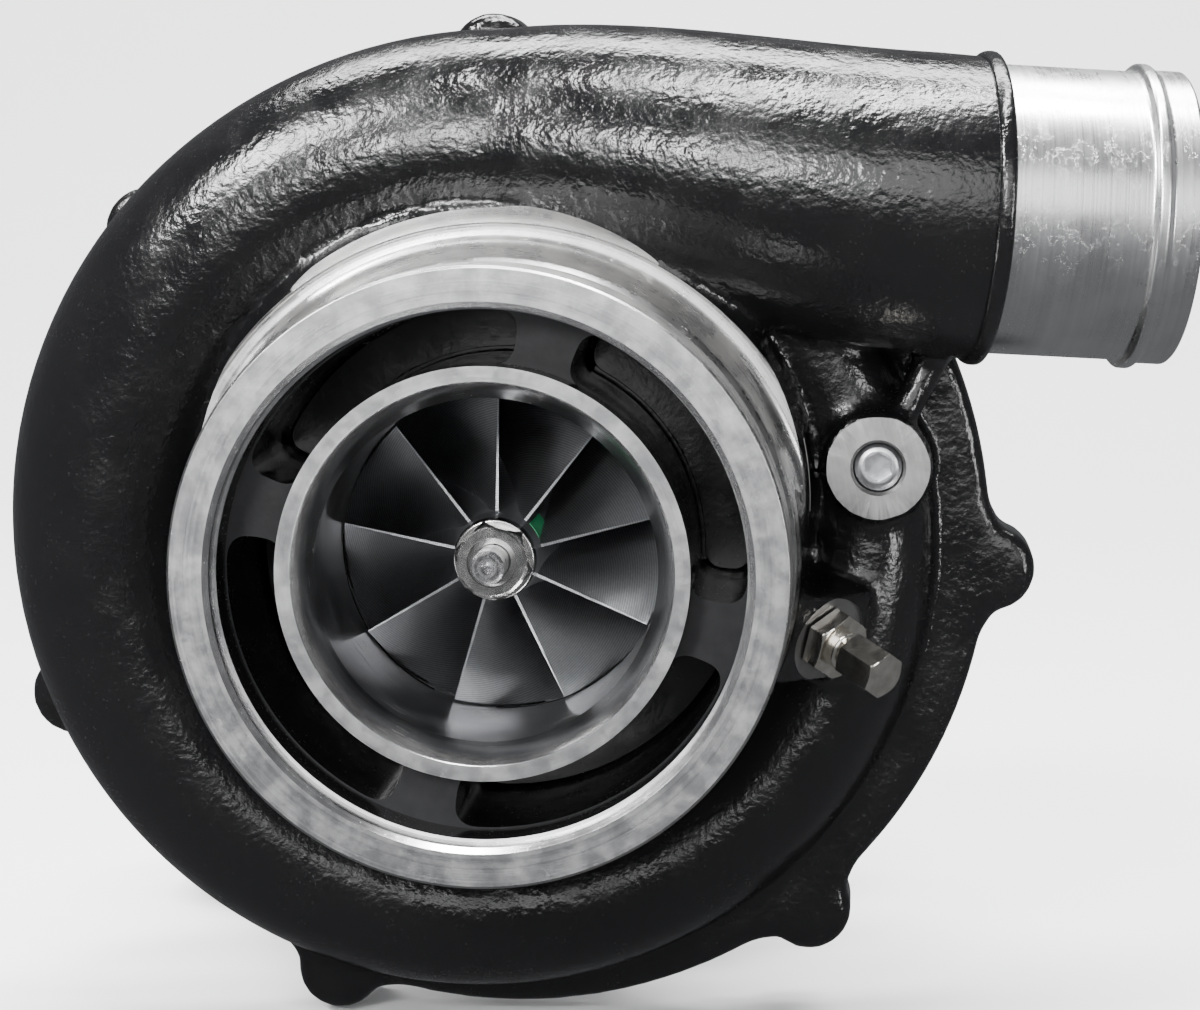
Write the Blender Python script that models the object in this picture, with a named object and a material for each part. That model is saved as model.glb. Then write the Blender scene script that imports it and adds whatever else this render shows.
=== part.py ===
"""Turbocharger with a ported-shroud compressor, a ball-bearing centre and a scroll turbine.

Metres, +Z up. The origin is the centre of the turbine's inlet face, which looks down.
The rotor's axis is parallel to Y, and the compressor's inlet faces -Y. Every piece is
modelled on the rotor's axis, with y counted from the compressor's inlet face, and hangs
from an empty that puts the axis in its place.
"""

import math

import bmesh
import bpy
from mathutils import Matrix, Vector

TURN = 2.0 * math.pi
GAP = 0.0003  # left between neighbouring pieces
OVERLAP = 0.0010  # how far joined shapes sink into each other
PAST = 0.0040  # how far a cutter runs past the wall it cuts
ROUND_STEPS = 32  # flats round a large turned piece
SMALL_STEPS = 20  # flats round a small one
HOUSING_STEPS = 24  # flats round the centre housing
HOLE_SIDES = 8

# Compressor inlet and ported shroud
INLET_R = 0.0508
INLET_FACE_R = 0.0457
BOWL_R = 0.0442
BOWL_CHAMFER = 0.0015
SHROUD_RING_Y = 0.0066
SHROUD_RING_R = 0.0347
SHROUD_FACE_R = 0.0319
BORE_R = 0.0290
BORE_CONE_LENGTH = 0.0060
PORT_FLOOR_Y = 0.0500
PORT_SLOT_WIDTH = 0.0026
PORT_CORNER = 0.0040
WEB_Y = 0.0140
WEB_WIDTH = 0.0090
WEB_ANGLES = (75.0, 165.0, 255.0, 345.0)
SPIGOT_LENGTH = 0.0150
GROOVE_R = 0.0490
GROOVE_LENGTH = 0.0070
GROOVE_SLOPE = 0.0012
NECK_R = 0.0515
NECK_FILLET = 0.0040
NECK_RISE = 0.0060
SHELF_R = 0.0505
SHELF_RISE = 0.0085
SHELF_Y = 0.0330

# Compressor scroll: it starts at the right and runs clockwise as seen from the inlet
COVER_LENGTH = 0.0755
COVER_WALL = 0.0032
SCROLL_START_ANGLE = 22.0
SCROLL_SWEEP = 292.0
SCROLL_OUTER_START = 0.0755
SCROLL_OUTER_END = 0.0924
SCROLL_SECTION_START = 0.0108
SCROLL_SECTION_END = 0.0212
SCROLL_BACK_Y = 0.0715
SCROLL_OUTER_POWER = 1.4
OUTLET_BODY_R = 0.0262
OUTLET_PIPE_R = 0.0254
OUTLET_BORE_R = 0.0228
OUTLET_BODY_X = 0.0840
OUTLET_BODY_Z = 0.0596
OUTLET_BODY_Y = 0.0472
OUTLET_PIPE_LENGTH = 0.0352
OUTLET_BEAD_HEIGHT = 0.0010
OUTLET_BEAD_FROM_END = 0.0085
OUTLET_BEAD_FOOT = 0.0018
OUTLET_BEAD_CROWN = 0.0008
OUTLET_DROP = 3.2
OUTLET_LEAN = 9.0
TONGUE_END_ANGLE = 44.0

# Flange, lugs, clamp plates and bolts of the cover
FLANGE_Y = 0.0600
FLANGE_R = 0.0856
LUG_OUTER_R = 0.0950
LUG_HALF_ANGLE = 9.5
LUG_PAIRS = ((92.3, 140.3), (200.0, 248.0), (308.5, 356.6))
BOLT_CIRCLE_R = 0.0868
BOLT_R = 0.0030
BOLT_HEAD_R = 0.0055
BOLT_HEAD_HEIGHT = 0.0042
BOLT_DEPTH = 0.0090
BOLT_HOLE_SPARE = 0.0020
CLAMP_THICKNESS = 0.0032
CLAMP_INNER_R = 0.0715
CLAMP_INSET = 0.0012
CLAMP_END_ANGLE = 5.5
REGISTER_R = 0.0780
REGISTER_DEPTH = 0.0053

# Fittings on the cover
SPEED_BOSS_X = 0.0655
SPEED_BOSS_Z = 0.0145
SPEED_BOSS_Y = 0.0450
SPEED_BOSS_R = 0.00915
SPEED_PLUG_R = 0.0043
SPEED_PLUG_LENGTH = 0.0080
SPEED_PLUG_SINK = 0.0012
SPEED_SOCKET_R = 0.0026
FITTING_X = 0.0570
FITTING_Z = -0.0153
FITTING_Y = 0.0415
FITTING_AIM = (0.66, -0.68, -0.32)
FITTING_HEX_R = 0.0062
FITTING_HEX_LENGTH = 0.0040
FITTING_NECK_R = 0.0024
FITTING_NECK_LENGTH = 0.0105
FITTING_STUB_LENGTH = 0.0060
FITTING_CAP_R = 0.0043
FITTING_CAP_LENGTH = 0.0085
FITTING_CAP_STANDOFF = 0.0025
PAD_WIDTH = 0.0150
PAD_DEPTH = 0.0160

# Compressor wheel
WHEEL_BLADES = 9
WHEEL_FIRST_ANGLE = 12.0
INDUCER_R = 0.0285
INDUCER_TIP_Y = 0.0448
INDUCER_HUB_Y = 0.0347
EXDUCER_R = 0.0380
EXDUCER_HEIGHT = 0.0037
WHEEL_NOSE_Y = 0.0295
WHEEL_NOSE_R = 0.0066
WHEEL_HUB_R = 0.0075
WHEEL_RIM_Y = 0.0705
WHEEL_RIM_THICKNESS = 0.0015
WHEEL_BOSS_R = 0.0088
WHEEL_END_Y = 0.0760
WHEEL_BORE_R = 0.0040
BLADE_ROOT = 0.0015
BLADE_TIP = 0.0009
BLADE_CLEARANCE = 0.0005
WHEEL_BACK_CLEARANCE = 0.0007

# Shaft and nut
SHAFT_TIP_Y = 0.0154
SHAFT_TIP_R = 0.0029
SHAFT_TIP_CHAMFER = 0.0004
SHAFT_R = 0.0037
SHAFT_CENTRE_R = 0.0012
SHAFT_CENTRE_DEPTH = 0.0030
JOURNAL_R = 0.0047
JOURNAL_CHAMFER = 0.0010
JOURNAL_FILLET = 0.0040
NUT_Y = 0.0230
NUT_R = 0.0069
NUT_COLLAR_R = 0.0050
NUT_COLLAR_LENGTH = 0.0016

# Bearing cartridge
CARTRIDGE_Y = 0.0940
CARTRIDGE_LENGTH = 0.0320
SLEEVE_R = 0.0140
BALL_R = 0.0016
BALL_COUNT = 8
CAGE_HALF_WIDTH = 0.00104
CAGE_HALF_THICKNESS = 0.00072
RACE_R = 0.0073
RACE_WIDTH = 0.0070
RETAINER_WIDTH = 0.0015
RETAINER_GRIP = 0.0012
RETAINER_LIP = 0.0016
RETAINER_GROOVE = 0.0018

# Seal plate between cover and centre housing
PLATE_BACK_Y = 0.0820
PLATE_HUB_R = 0.0440
PLATE_HUB_FOOT = 0.0080
PLATE_HUB_RISE = 0.0030
PLATE_HUB_CLEARANCE = 0.0014
PLATE_SCREW_CIRCLE_R = 0.0300
PLATE_SCREW_R = 0.0024
PLATE_SCREW_HEAD_R = 0.0040
PLATE_SCREW_HEAD = 0.0032
PLATE_SCREW_DEPTH = 0.0065
SEAL_BORE_R = 0.0092
SEAL_GROOVE_R = 0.0070
SEAL_WIDTH = 0.0014
SEAL_RUN = 0.0006
SEAL_SHIFT = 0.0005
O_RING_R = 0.0007
O_RING_INSET = 0.0016
HOUSING_O_RING_INSET = 0.0035

# Centre housing
HOUSING_FLANGE_R = 0.0420
HOUSING_FLANGE_LENGTH = 0.0080
HOUSING_BARREL_R = 0.0250
HOUSING_FILLET = 0.0040
HOUSING_FLARE = 0.0100
HOUSING_CHAMBER_R = 0.0190
HOUSING_CHAMBER_LIP = 0.0030
HOUSING_NOSE_FOOT_R = 0.0300
HOUSING_NOSE_R = 0.0220
HOUSING_NOSE = 0.0022
SLEEVE_STOP_R = 0.0120
SLEEVE_STOP_DEPTH = 0.0050
TURBINE_SEAL_DEPTH = 0.0030
HOUSING_END_Y = 0.1380
BAND_FLANGE_R = 0.0470
BAND_FLANGE_LENGTH = 0.0034
BAND_FLANGE_SLOPE = 0.0012
BAND_FLANGE_CHAMFER = 0.0010
OIL_Y = 0.1080
OIL_TOP_Z = 0.0380
OIL_BOSS_R = 0.0100
OIL_THREAD_R = 0.0050
OIL_BOSS_FOOT_Z = 0.0180
OIL_FEED_R = 0.0020
OIL_FEED_FOOT_Z = 0.0120
OIL_FEED_TOP = 0.0090
OIL_PORT_DEPTH = 0.0110
OIL_STUB_LENGTH = 0.0100
OIL_FITTING_HEX_R = 0.0085
OIL_FITTING_HEX_LENGTH = 0.0080
OIL_FITTING_BORE_R = 0.0022
OIL_NOSE_R = 0.0055
OIL_NOSE_END_R = 0.0048
OIL_NOSE_LENGTH = 0.0100
DRAIN_BOTTOM_Z = 0.0440
DRAIN_BORE_R = 0.0070
DRAIN_BORE_TOP_Z = 0.0120
DRAIN_BLOCK_TOP_Z = 0.0200
DRAIN_NECK_WALL = 0.0022
DRAIN_NECK_LENGTH = 0.0120
DRAIN_HALF_WIDTH = 0.0240
DRAIN_HALF_DEPTH = 0.0115
DRAIN_PLATE = 0.0050
DRAIN_GASKET = 0.0010
DRAIN_BOLT_SPACING = 0.0165
DRAIN_BOLT_R = 0.0030
DRAIN_BOLT_DEPTH = 0.0090
DRAIN_BOLT_HEAD_R = 0.0050
DRAIN_BOLT_HEAD = 0.0036
DRAIN_HOLE_DEPTH = 0.0100
COOLANT_X = 0.0400
COOLANT_BOSS_R = 0.0115
COOLANT_THREAD_R = 0.0062
COOLANT_BOSS_FOOT_X = 0.0200
COOLANT_PORT_FLOOR_X = 0.0205
COOLANT_STUB_LENGTH = 0.0120
COOLANT_HEX_R = 0.0105
COOLANT_HEX_LENGTH = 0.0070
COOLANT_NOSE_R = 0.0072
COOLANT_NOSE_END_R = 0.0066
COOLANT_NOSE_END = 0.0200
COOLANT_BORE_R = 0.0036

# Turbine
TURBINE_Y = 0.1660
TURBINE_SCROLL_X = 0.0530
TURBINE_FACE_Z = 0.0720
TURBINE_WALL = 0.0035
TURBINE_INLET_R = 0.0205
TURBINE_INLET_FLANGE_R = 0.0270
TURBINE_FLANGE_LENGTH = 0.0060
TURBINE_FLANGE_CHAMFER = 0.0015
TURBINE_COLLAR_R = 0.0450
TURBINE_COLLAR_LENGTH = 0.0100
TURBINE_BODY_R = 0.0480
TURBINE_BODY_START = 0.0140
TURBINE_BODY_END = 0.0200
TURBINE_END_SECTION = 0.0095
TURBINE_END_CENTRE_R = 0.0440
TURBINE_SWEEP = 280.0
TURBINE_INDUCER_R = 0.0340
TURBINE_INDUCER_Y = 0.1493
TURBINE_INDUCER_WIDTH = 0.0077
TURBINE_EXDUCER_R = 0.0295
TURBINE_EXDUCER_Y = 0.1780
TURBINE_BLADES = 10
TURBINE_HUB_R = 0.0070
TURBINE_NOSE_Y = 0.1860
TURBINE_NOSE_LENGTH = 0.0050
TURBINE_DISC = 0.0016
TURBINE_WRAP = 62.0
TURBINE_CLEARANCE = 0.0006
TURBINE_RIM_CLEARANCE = 0.0005
TURBINE_SHAFT_R = 0.0082
TURBINE_WELD_PAST = 0.0040
TURBINE_OUTLET_Y = 0.2120
TURBINE_OUTLET_R = 0.0340
TURBINE_OUTLET_WALL = 0.0040
TURBINE_OUTLET_FLANGE_R = 0.0440
TURBINE_OUTLET_FLANGE = 0.0050
TURBINE_OUTLET_TAPER = 0.0120
SHIELD_THICKNESS = 0.0012
SHIELD_SEAT_R = 0.0415
SHIELD_SEAT_DEPTH = 0.0078
SHIELD_STEP_R = 0.0370
SHIELD_BORE_R = 0.0112
SHIELD_FREE = 0.0004
SHIELD_DISC_CLEARANCE = 0.0007

# V-band clamp between the centre and turbine housings
BAND_THICKNESS = 0.0016
BAND_CLEARANCE = 0.0005
BAND_LIP = 0.0012
BAND_EDGE = 0.0004
BAND_ANGLE = 30.0
BAND_SPLIT = 14.0
BAND_EAR_FOOT = 0.0010
BAND_EAR_LENGTH = 0.0120
BAND_EAR_THICKNESS = 0.0042
BAND_EAR_HALF_WIDTH = 0.0050
BAND_BOLT_R = 0.0030
BAND_BOLT_OUT = 0.0075
BAND_BOLT_REACH = 0.0125
BAND_BOLT_PAST = 0.0070
BAND_HEAD_R = 0.0050
BAND_HEAD = 0.0040
BAND_NUT_R = 0.0052
BAND_NUT = 0.0048

BACKPLATE_Y = COVER_LENGTH - REGISTER_DEPTH + GAP
CLAMP_Y = COVER_LENGTH + GAP
BALL_CIRCLE_R = RACE_R + GAP + BALL_R
SLEEVE_BORE_R = BALL_CIRCLE_R + BALL_R + GAP
HOUSING_Y = PLATE_BACK_Y + GAP
WHEEL_BACK_Y = WHEEL_RIM_Y + WHEEL_RIM_THICKNESS
WHEEL_RECESS_Y = WHEEL_BACK_Y + 0.0005
TURBINE_WELD_Y = HOUSING_END_Y + TURBINE_WELD_PAST
TURBINE_SEAL_Y = HOUSING_END_Y - TURBINE_SEAL_DEPTH


def clear_scene():
    for obj in list(bpy.data.objects):
        bpy.data.objects.remove(obj, do_unlink=True)


def paint(name, colour, roughness, metallic):
    """A Principled material of one finish."""
    material = bpy.data.materials.new(name)
    material.use_nodes = True
    shader = material.node_tree.nodes["Principled BSDF"]
    shader.inputs["Base Color"].default_value = (*colour, 1.0)
    shader.inputs["Roughness"].default_value = roughness
    shader.inputs["Metallic"].default_value = metallic
    return material


def empty(name, location, parent=None):
    obj = bpy.data.objects.new(name, None)
    bpy.context.scene.collection.objects.link(obj)
    obj.location = location
    obj.parent = parent
    return obj


def place(name, bm, parent, material=None, location=(0.0, 0.0, 0.0)):
    """Turn mesh data into an object that hangs from its parent."""
    bmesh.ops.remove_doubles(bm, verts=bm.verts, dist=1e-6)
    on_axis = [edge for edge in bm.edges if not edge.link_faces]
    bmesh.ops.delete(bm, geom=on_axis, context="EDGES")
    bmesh.ops.recalc_face_normals(bm, faces=bm.faces)
    mesh = bpy.data.meshes.new(name)
    bm.to_mesh(mesh)
    bm.free()
    mesh.shade_smooth()
    mesh.set_sharp_from_angle(angle=math.radians(35.0))
    if material:
        mesh.materials.append(material)
    obj = bpy.data.objects.new(name, mesh)
    bpy.context.scene.collection.objects.link(obj)
    obj.parent = parent
    obj.location = location
    return obj


def combine(target, tool, operation):
    """Join a hidden guide to the target, or cut it away."""
    modifier = target.modifiers.new(tool.name, "BOOLEAN")
    modifier.operation = operation
    modifier.solver = "EXACT"
    modifier.object = tool
    tool.hide_render = True
    tool.display_type = "WIRE"


def join(target, name, bm):
    combine(target, place(name, bm, target.parent), "UNION")


def cut(target, name, bm):
    combine(target, place(name, bm, target.parent), "DIFFERENCE")


def polar(radius, degrees, y=0.0):
    """A point at an angle about the rotor's axis, counter-clockwise from the inlet side."""
    angle = math.radians(degrees)
    return Vector((radius * math.cos(angle), y, radius * math.sin(angle)))


def turned(outline, steps=ROUND_STEPS, start=0.0, sweep=360.0, bm=None):
    """A closed outline of (radius, y) points, turned about the rotor's axis."""
    bm = bm or bmesh.new()
    verts = [bm.verts.new(polar(radius, start, y)) for radius, y in outline]
    face = bm.faces.new(verts)
    whole = sweep >= 360.0
    geometry = [face]
    if whole:
        geometry = list(face.verts) + list(face.edges)
        bm.faces.remove(face)
    bmesh.ops.spin(
        bm, geom=geometry, cent=(0.0, 0.0, 0.0), axis=(0.0, -1.0, 0.0), dvec=(0.0, 0.0, 0.0),
        angle=math.radians(sweep), steps=steps, use_merge=whole, use_duplicate=False,
    )
    return bm


def aimed(axis, point):
    """A matrix that turns +Z to the axis and moves the origin to the point."""
    turn = Vector(axis).normalized().to_track_quat("Z", "Y").to_matrix().to_4x4()
    return Matrix.Translation(Vector(point)) @ turn


def rod(start, end, radius, sides=20, end_radius=None, bm=None, twist=0.0):
    """A cylinder, cone or prism between two points."""
    bm = bm or bmesh.new()
    start, end = Vector(start), Vector(end)
    matrix = aimed(end - start, (start + end) / 2.0) @ Matrix.Rotation(math.radians(twist), 4, "Z")
    bmesh.ops.create_cone(
        bm, cap_ends=True, segments=sides, radius1=radius,
        radius2=radius if end_radius is None else end_radius,
        depth=(end - start).length, matrix=matrix,
    )
    return bm


def box(low, high, matrix=None, bm=None):
    bm = bm or bmesh.new()
    low, high = Vector(low), Vector(high)
    size = high - low
    shape = Matrix.Translation((low + high) / 2.0) @ Matrix.Diagonal((*size, 1.0))
    bmesh.ops.create_cube(bm, size=1.0, matrix=(matrix or Matrix()) @ shape)
    return bm


def loft(rings, bm=None):
    """A closed skin over rings of points, with a fan of triangles over each end."""
    bm = bm or bmesh.new()
    loops = [[bm.verts.new(point) for point in ring] for ring in rings]
    count = len(loops[0])
    faces = []
    for near, far in zip(loops, loops[1:]):
        for i in range(count):
            after = (i + 1) % count
            faces.append(bm.faces.new((near[i], far[i], far[after], near[after])))
    bmesh.ops.triangulate(bm, faces=faces)
    for loop in (loops[0], loops[-1][::-1]):
        middle = bm.verts.new(sum((vert.co for vert in loop), Vector()) / count)
        for i in range(count):
            bm.faces.new((middle, loop[i], loop[(i + 1) % count]))
    return bm


def circle(centre, ahead, radius, count=12, flat=Vector((0.0, 1.0, 0.0))):
    """A ring of points square to the direction ahead."""
    ahead = ahead.normalized()
    side = (flat - ahead * flat.dot(ahead)).normalized()
    other = ahead.cross(side)
    angles = [TURN * i / count for i in range(count)]
    return [centre + side * radius * math.cos(a) + other * radius * math.sin(a) for a in angles]


def plate(outline, y_low, y_high, bm=None):
    """A flat plate whose outline lies across the rotor's axis."""
    return loft([[Vector((p.x, y, p.z)) for p in outline] for y in (y_low, y_high)], bm)


def blend(a, b, share):
    return a + (b - a) * share


# Compressor cover -------------------------------------------------------------------


def scroll_centre(travel):
    """Centre and section radius of the scroll after so many degrees of travel."""
    share = travel / SCROLL_SWEEP
    section = blend(SCROLL_SECTION_START, SCROLL_SECTION_END, share)
    swell = math.sin(0.5 * math.pi * min(max(share, 0.0), 1.0) ** SCROLL_OUTER_POWER) ** 2
    outer = blend(SCROLL_OUTER_START, SCROLL_OUTER_END, swell)
    angle = SCROLL_START_ANGLE - travel
    return polar(outer - section, angle, SCROLL_BACK_Y - section), section


def outlet_aim():
    drop, lean = math.radians(OUTLET_DROP), math.radians(OUTLET_LEAN)
    return Vector((math.cos(drop) * math.cos(lean), math.sin(lean), -math.sin(drop) * math.cos(lean)))


def outlet_point(share):
    """Centre of the duct between the scroll's end and the outlet's body end."""
    start = scroll_centre(SCROLL_SWEEP)[0]
    end = Vector((OUTLET_BODY_X, OUTLET_BODY_Y, OUTLET_BODY_Z))
    reach = (end - start).length
    leave = Vector((1.0, -0.05, 0.0)) * reach
    arrive = outlet_aim() * reach
    s, s2, s3 = share, share ** 2, share ** 3
    return (
        start * (2.0 * s3 - 3.0 * s2 + 1.0) + leave * (s3 - 2.0 * s2 + s)
        + end * (3.0 * s2 - 2.0 * s3) + arrive * (s3 - s2)
    )


def duct_rings(inset, end_radius, first=0.0):
    """Rings of the scroll and its duct, drawn in from the outside by the inset."""
    rings = []
    steps = 26
    for i in range(steps):
        travel = blend(first, SCROLL_SWEEP, i / steps)
        centre, section = scroll_centre(travel)
        ahead = scroll_centre(travel + 1.0)[0] - scroll_centre(travel - 1.0)[0]
        rings.append(circle(centre, ahead, section - inset))
    duct_steps = 6
    for i in range(duct_steps + 1):
        share = i / duct_steps
        centre = outlet_point(share)
        ahead = outlet_point(share + 0.01) - outlet_point(share - 0.01)
        radius = blend(SCROLL_SECTION_END - inset, end_radius, min(1.0, share * 1.15) ** 0.8)
        rings.append(circle(centre, ahead, radius))
    return rings


def outlet_pipe_rings():
    """The machined hose pipe with its bead, from inside the body to its open end."""
    aim = outlet_aim()
    foot = outlet_point(1.0)
    bead = OUTLET_PIPE_LENGTH - OUTLET_BEAD_FROM_END
    stations = (
        (-OVERLAP * 2.0, 0.0), (bead - OUTLET_BEAD_FOOT, 0.0),
        (bead - OUTLET_BEAD_CROWN, OUTLET_BEAD_HEIGHT), (bead + OUTLET_BEAD_CROWN, OUTLET_BEAD_HEIGHT),
        (bead + OUTLET_BEAD_FOOT, 0.0), (OUTLET_PIPE_LENGTH, 0.0),
    )
    return [circle(foot + aim * along, aim, OUTLET_PIPE_R + rise, 20) for along, rise in stations]


def lug_angles():
    return [angle for pair in LUG_PAIRS for angle in pair]


def lug_rise(degrees):
    """How far a lug lifts the flange's edge at an angle, from 0 to 1."""
    nearest = min(abs((degrees - angle + 180.0) % 360.0 - 180.0) for angle in lug_angles())
    if nearest >= LUG_HALF_ANGLE:
        return 0.0
    return math.cos(0.5 * math.pi * nearest / LUG_HALF_ANGLE) ** 2


def flange_outline():
    offsets = [-1.0, -0.65, -0.4, -0.18, 0.18, 0.4, 0.65, 1.0]
    angles = []
    lugs = sorted(lug_angles())
    for index, angle in enumerate(lugs):
        angles += [angle + LUG_HALF_ANGLE * share for share in offsets]
        after = lugs[(index + 1) % len(lugs)] + (360.0 if index == len(lugs) - 1 else 0.0)
        first, last = angle + LUG_HALF_ANGLE, after - LUG_HALF_ANGLE
        count = max(2, round((last - first) / 10.0))
        angles += [blend(first, last, i / count) for i in range(1, count)]
    return [polar(blend(FLANGE_R, LUG_OUTER_R, lug_rise(a)), a) for a in angles]


def shroud_outline(clearance):
    """(radius, y) points along the tips of the compressor's blades, inducer to exducer."""
    points = []
    for i in range(7):
        phase = 0.5 * math.pi * i / 6
        y = blend(INDUCER_TIP_Y, WHEEL_RIM_Y - EXDUCER_HEIGHT, math.sin(phase))
        radius = blend(EXDUCER_R, INDUCER_R, math.cos(phase))
        points.append((radius + clearance * math.cos(phase), y - clearance * math.sin(phase)))
    return points


def make_compressor_cover(axis, black):
    groove_end = SPIGOT_LENGTH + GROOVE_LENGTH
    core = [
        (BORE_R - OVERLAP, 0.0), (INLET_R, 0.0), (INLET_R, SPIGOT_LENGTH),
        (GROOVE_R, SPIGOT_LENGTH + GROOVE_SLOPE), (GROOVE_R, groove_end),
        (NECK_R, groove_end + NECK_RISE), (NECK_R, FLANGE_Y - NECK_FILLET * 3.0),
        (NECK_R + NECK_FILLET, FLANGE_Y - NECK_FILLET), (NECK_R + NECK_FILLET, FLANGE_Y + OVERLAP),
        (BORE_R - OVERLAP, FLANGE_Y + OVERLAP),
    ]
    cover = place("compressor_cover", turned(core), axis, black)
    shelf = [(0.0, y, SHELF_RISE) for y in (SHELF_Y, FLANGE_Y + OVERLAP * 2.0)]
    join(cover, "cover_shelf", rod(*shelf, SHELF_R, 30, twist=3.0))
    join(cover, "cover_flange", plate(flange_outline(), FLANGE_Y, COVER_LENGTH))
    join(cover, "cover_scroll", loft(duct_rings(0.0, OUTLET_BODY_R)))
    join(cover, "cover_pipe", loft(outlet_pipe_rings()))
    bridge = []
    for share in (0.0, 0.5, 1.0):
        angle = blend(SCROLL_START_ANGLE - 8.0, TONGUE_END_ANGLE, share)
        section = SCROLL_SECTION_START - OVERLAP * 0.6
        radius = SCROLL_OUTER_START - SCROLL_SECTION_START
        centre = polar(radius, angle, SCROLL_BACK_Y - section - OVERLAP)
        bridge.append(circle(centre, polar(1.0, angle + 90.0), section, 14))
    join(cover, "cover_tongue", loft(bridge))
    boss_top = (SPEED_BOSS_X, SPEED_BOSS_Y, SPEED_BOSS_Z)
    boss_foot = (SPEED_BOSS_X, FLANGE_Y + OVERLAP, SPEED_BOSS_Z)
    join(cover, "cover_speed_boss", rod(boss_top, boss_foot, SPEED_BOSS_R, 28))
    pad = aimed(FITTING_AIM, fitting_point(0.0))
    half = PAD_WIDTH / 2.0
    join(cover, "cover_pad", box((-half, -half, -PAD_DEPTH), (half, half, 0.0), pad))
    cut(cover, "cut_scroll", loft(passage_rings()))
    cut(cover, "cut_bowl", turned(bowl_outline()))
    for index, angle in enumerate(WEB_ANGLES):
        cut(cover, f"cut_port_{index + 1}", port_sector(angle))
    holes = bmesh.new()
    floor = COVER_LENGTH - BOLT_DEPTH - BOLT_HOLE_SPARE
    for angle in lug_angles():
        ends = [polar(BOLT_CIRCLE_R, angle, y) for y in (floor, COVER_LENGTH + PAST)]
        rod(*ends, BOLT_R + GAP, HOLE_SIDES, bm=holes)
    cut(cover, "cut_bolt_holes", holes)
    plug_floor = SPEED_BOSS_Y + SPEED_PLUG_SINK + SPEED_PLUG_LENGTH + GAP
    ends = [(SPEED_BOSS_X, y, SPEED_BOSS_Z) for y in (SPEED_BOSS_Y - PAST, plug_floor)]
    cut(cover, "cut_speed_port", rod(*ends, SPEED_PLUG_R + GAP, 20))
    ends = [fitting_point(along) for along in (PAST, -FITTING_STUB_LENGTH - GAP)]
    cut(cover, "cut_fitting_port", rod(*ends, FITTING_NECK_R + GAP, 14))


def passage_rings():
    """The air's way through the scroll, run out past the pipe's end."""
    rings = duct_rings(COVER_WALL, OUTLET_BORE_R, first=2.0)
    aim = outlet_aim()
    end = outlet_point(1.0) + aim * (OUTLET_PIPE_LENGTH + PAST)
    return rings + [circle(end, aim, OUTLET_BORE_R)]


def bowl_outline():
    """What is turned out of the cover: inlet bowl, bore, blade line, diffuser and register."""
    diffuser_y = WHEEL_RIM_Y - EXDUCER_HEIGHT - BLADE_CLEARANCE
    diffuser_r = scroll_centre(0.0)[0].xz.length
    blades = shroud_outline(BLADE_CLEARANCE)
    return [
        (0.0, -PAST), (INLET_FACE_R, -PAST), (INLET_FACE_R, 0.0),
        (BOWL_R, BOWL_CHAMFER), (BOWL_R, WEB_Y), (SHROUD_RING_R, WEB_Y),
        (SHROUD_RING_R, SHROUD_RING_Y), (SHROUD_FACE_R, SHROUD_RING_Y),
        (BORE_R, SHROUD_RING_Y + BORE_CONE_LENGTH),
        *blades[:-1], (EXDUCER_R, diffuser_y),
        (diffuser_r, diffuser_y), (diffuser_r, BACKPLATE_Y - GAP), (REGISTER_R, BACKPLATE_Y - GAP),
        (REGISTER_R, COVER_LENGTH + PAST), (0.0, COVER_LENGTH + PAST),
    ]


def port_sector(web_angle):
    """One of four round-floored ports between two webs, with its slot into the bore."""
    half_web = math.degrees(0.5 * WEB_WIDTH / SHROUD_RING_R)
    step = 360.0 / len(WEB_ANGLES)
    wide, deep = BOWL_R - OVERLAP * 0.4, PORT_FLOOR_Y
    slot = PORT_FLOOR_Y - PORT_SLOT_WIDTH
    outline = [
        (SHROUD_RING_R, WEB_Y - OVERLAP), (wide, WEB_Y - OVERLAP),
        (wide, deep - PORT_CORNER), (wide - PORT_CORNER, deep), (BORE_R - OVERLAP, deep),
        (BORE_R - OVERLAP, slot), (SHROUD_RING_R, slot),
    ]
    return turned(outline, 8, web_angle + half_web, step - 2.0 * half_web)


def fitting_point(along):
    return Vector((FITTING_X, FITTING_Y, FITTING_Z)) + Vector(FITTING_AIM).normalized() * along


def make_speed_plug(axis, steel):
    top = SPEED_BOSS_Y + SPEED_PLUG_SINK
    ends = [(SPEED_BOSS_X, y, SPEED_BOSS_Z) for y in (top, top + SPEED_PLUG_LENGTH)]
    plug = place("speed_port_plug", rod(*ends, SPEED_PLUG_R, 20), axis, steel)
    ends = [(SPEED_BOSS_X, y, SPEED_BOSS_Z) for y in (top - PAST, top + SPEED_PLUG_LENGTH * 0.5)]
    cut(plug, "cut_plug_socket", rod(*ends, SPEED_SOCKET_R, 6))


def make_boost_fitting(axis, nickel):
    base = rod(fitting_point(GAP), fitting_point(GAP + FITTING_HEX_LENGTH), FITTING_HEX_R, 6)
    fitting = place("boost_fitting", base, axis, nickel)
    ends = [fitting_point(along) for along in (-FITTING_STUB_LENGTH, FITTING_NECK_LENGTH)]
    join(fitting, "fitting_neck", rod(*ends, FITTING_NECK_R, 14))
    start = FITTING_HEX_LENGTH + FITTING_CAP_STANDOFF
    cap_ends = [fitting_point(along) for along in (start, start + FITTING_CAP_LENGTH)]
    cap = place("boost_fitting_cap", rod(*cap_ends, FITTING_CAP_R, 6), axis, nickel)
    bore = [fitting_point(along) for along in (start - PAST, FITTING_NECK_LENGTH + GAP)]
    cut(cap, "cut_cap_bore", rod(*bore, FITTING_NECK_R + GAP, 14))


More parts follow.
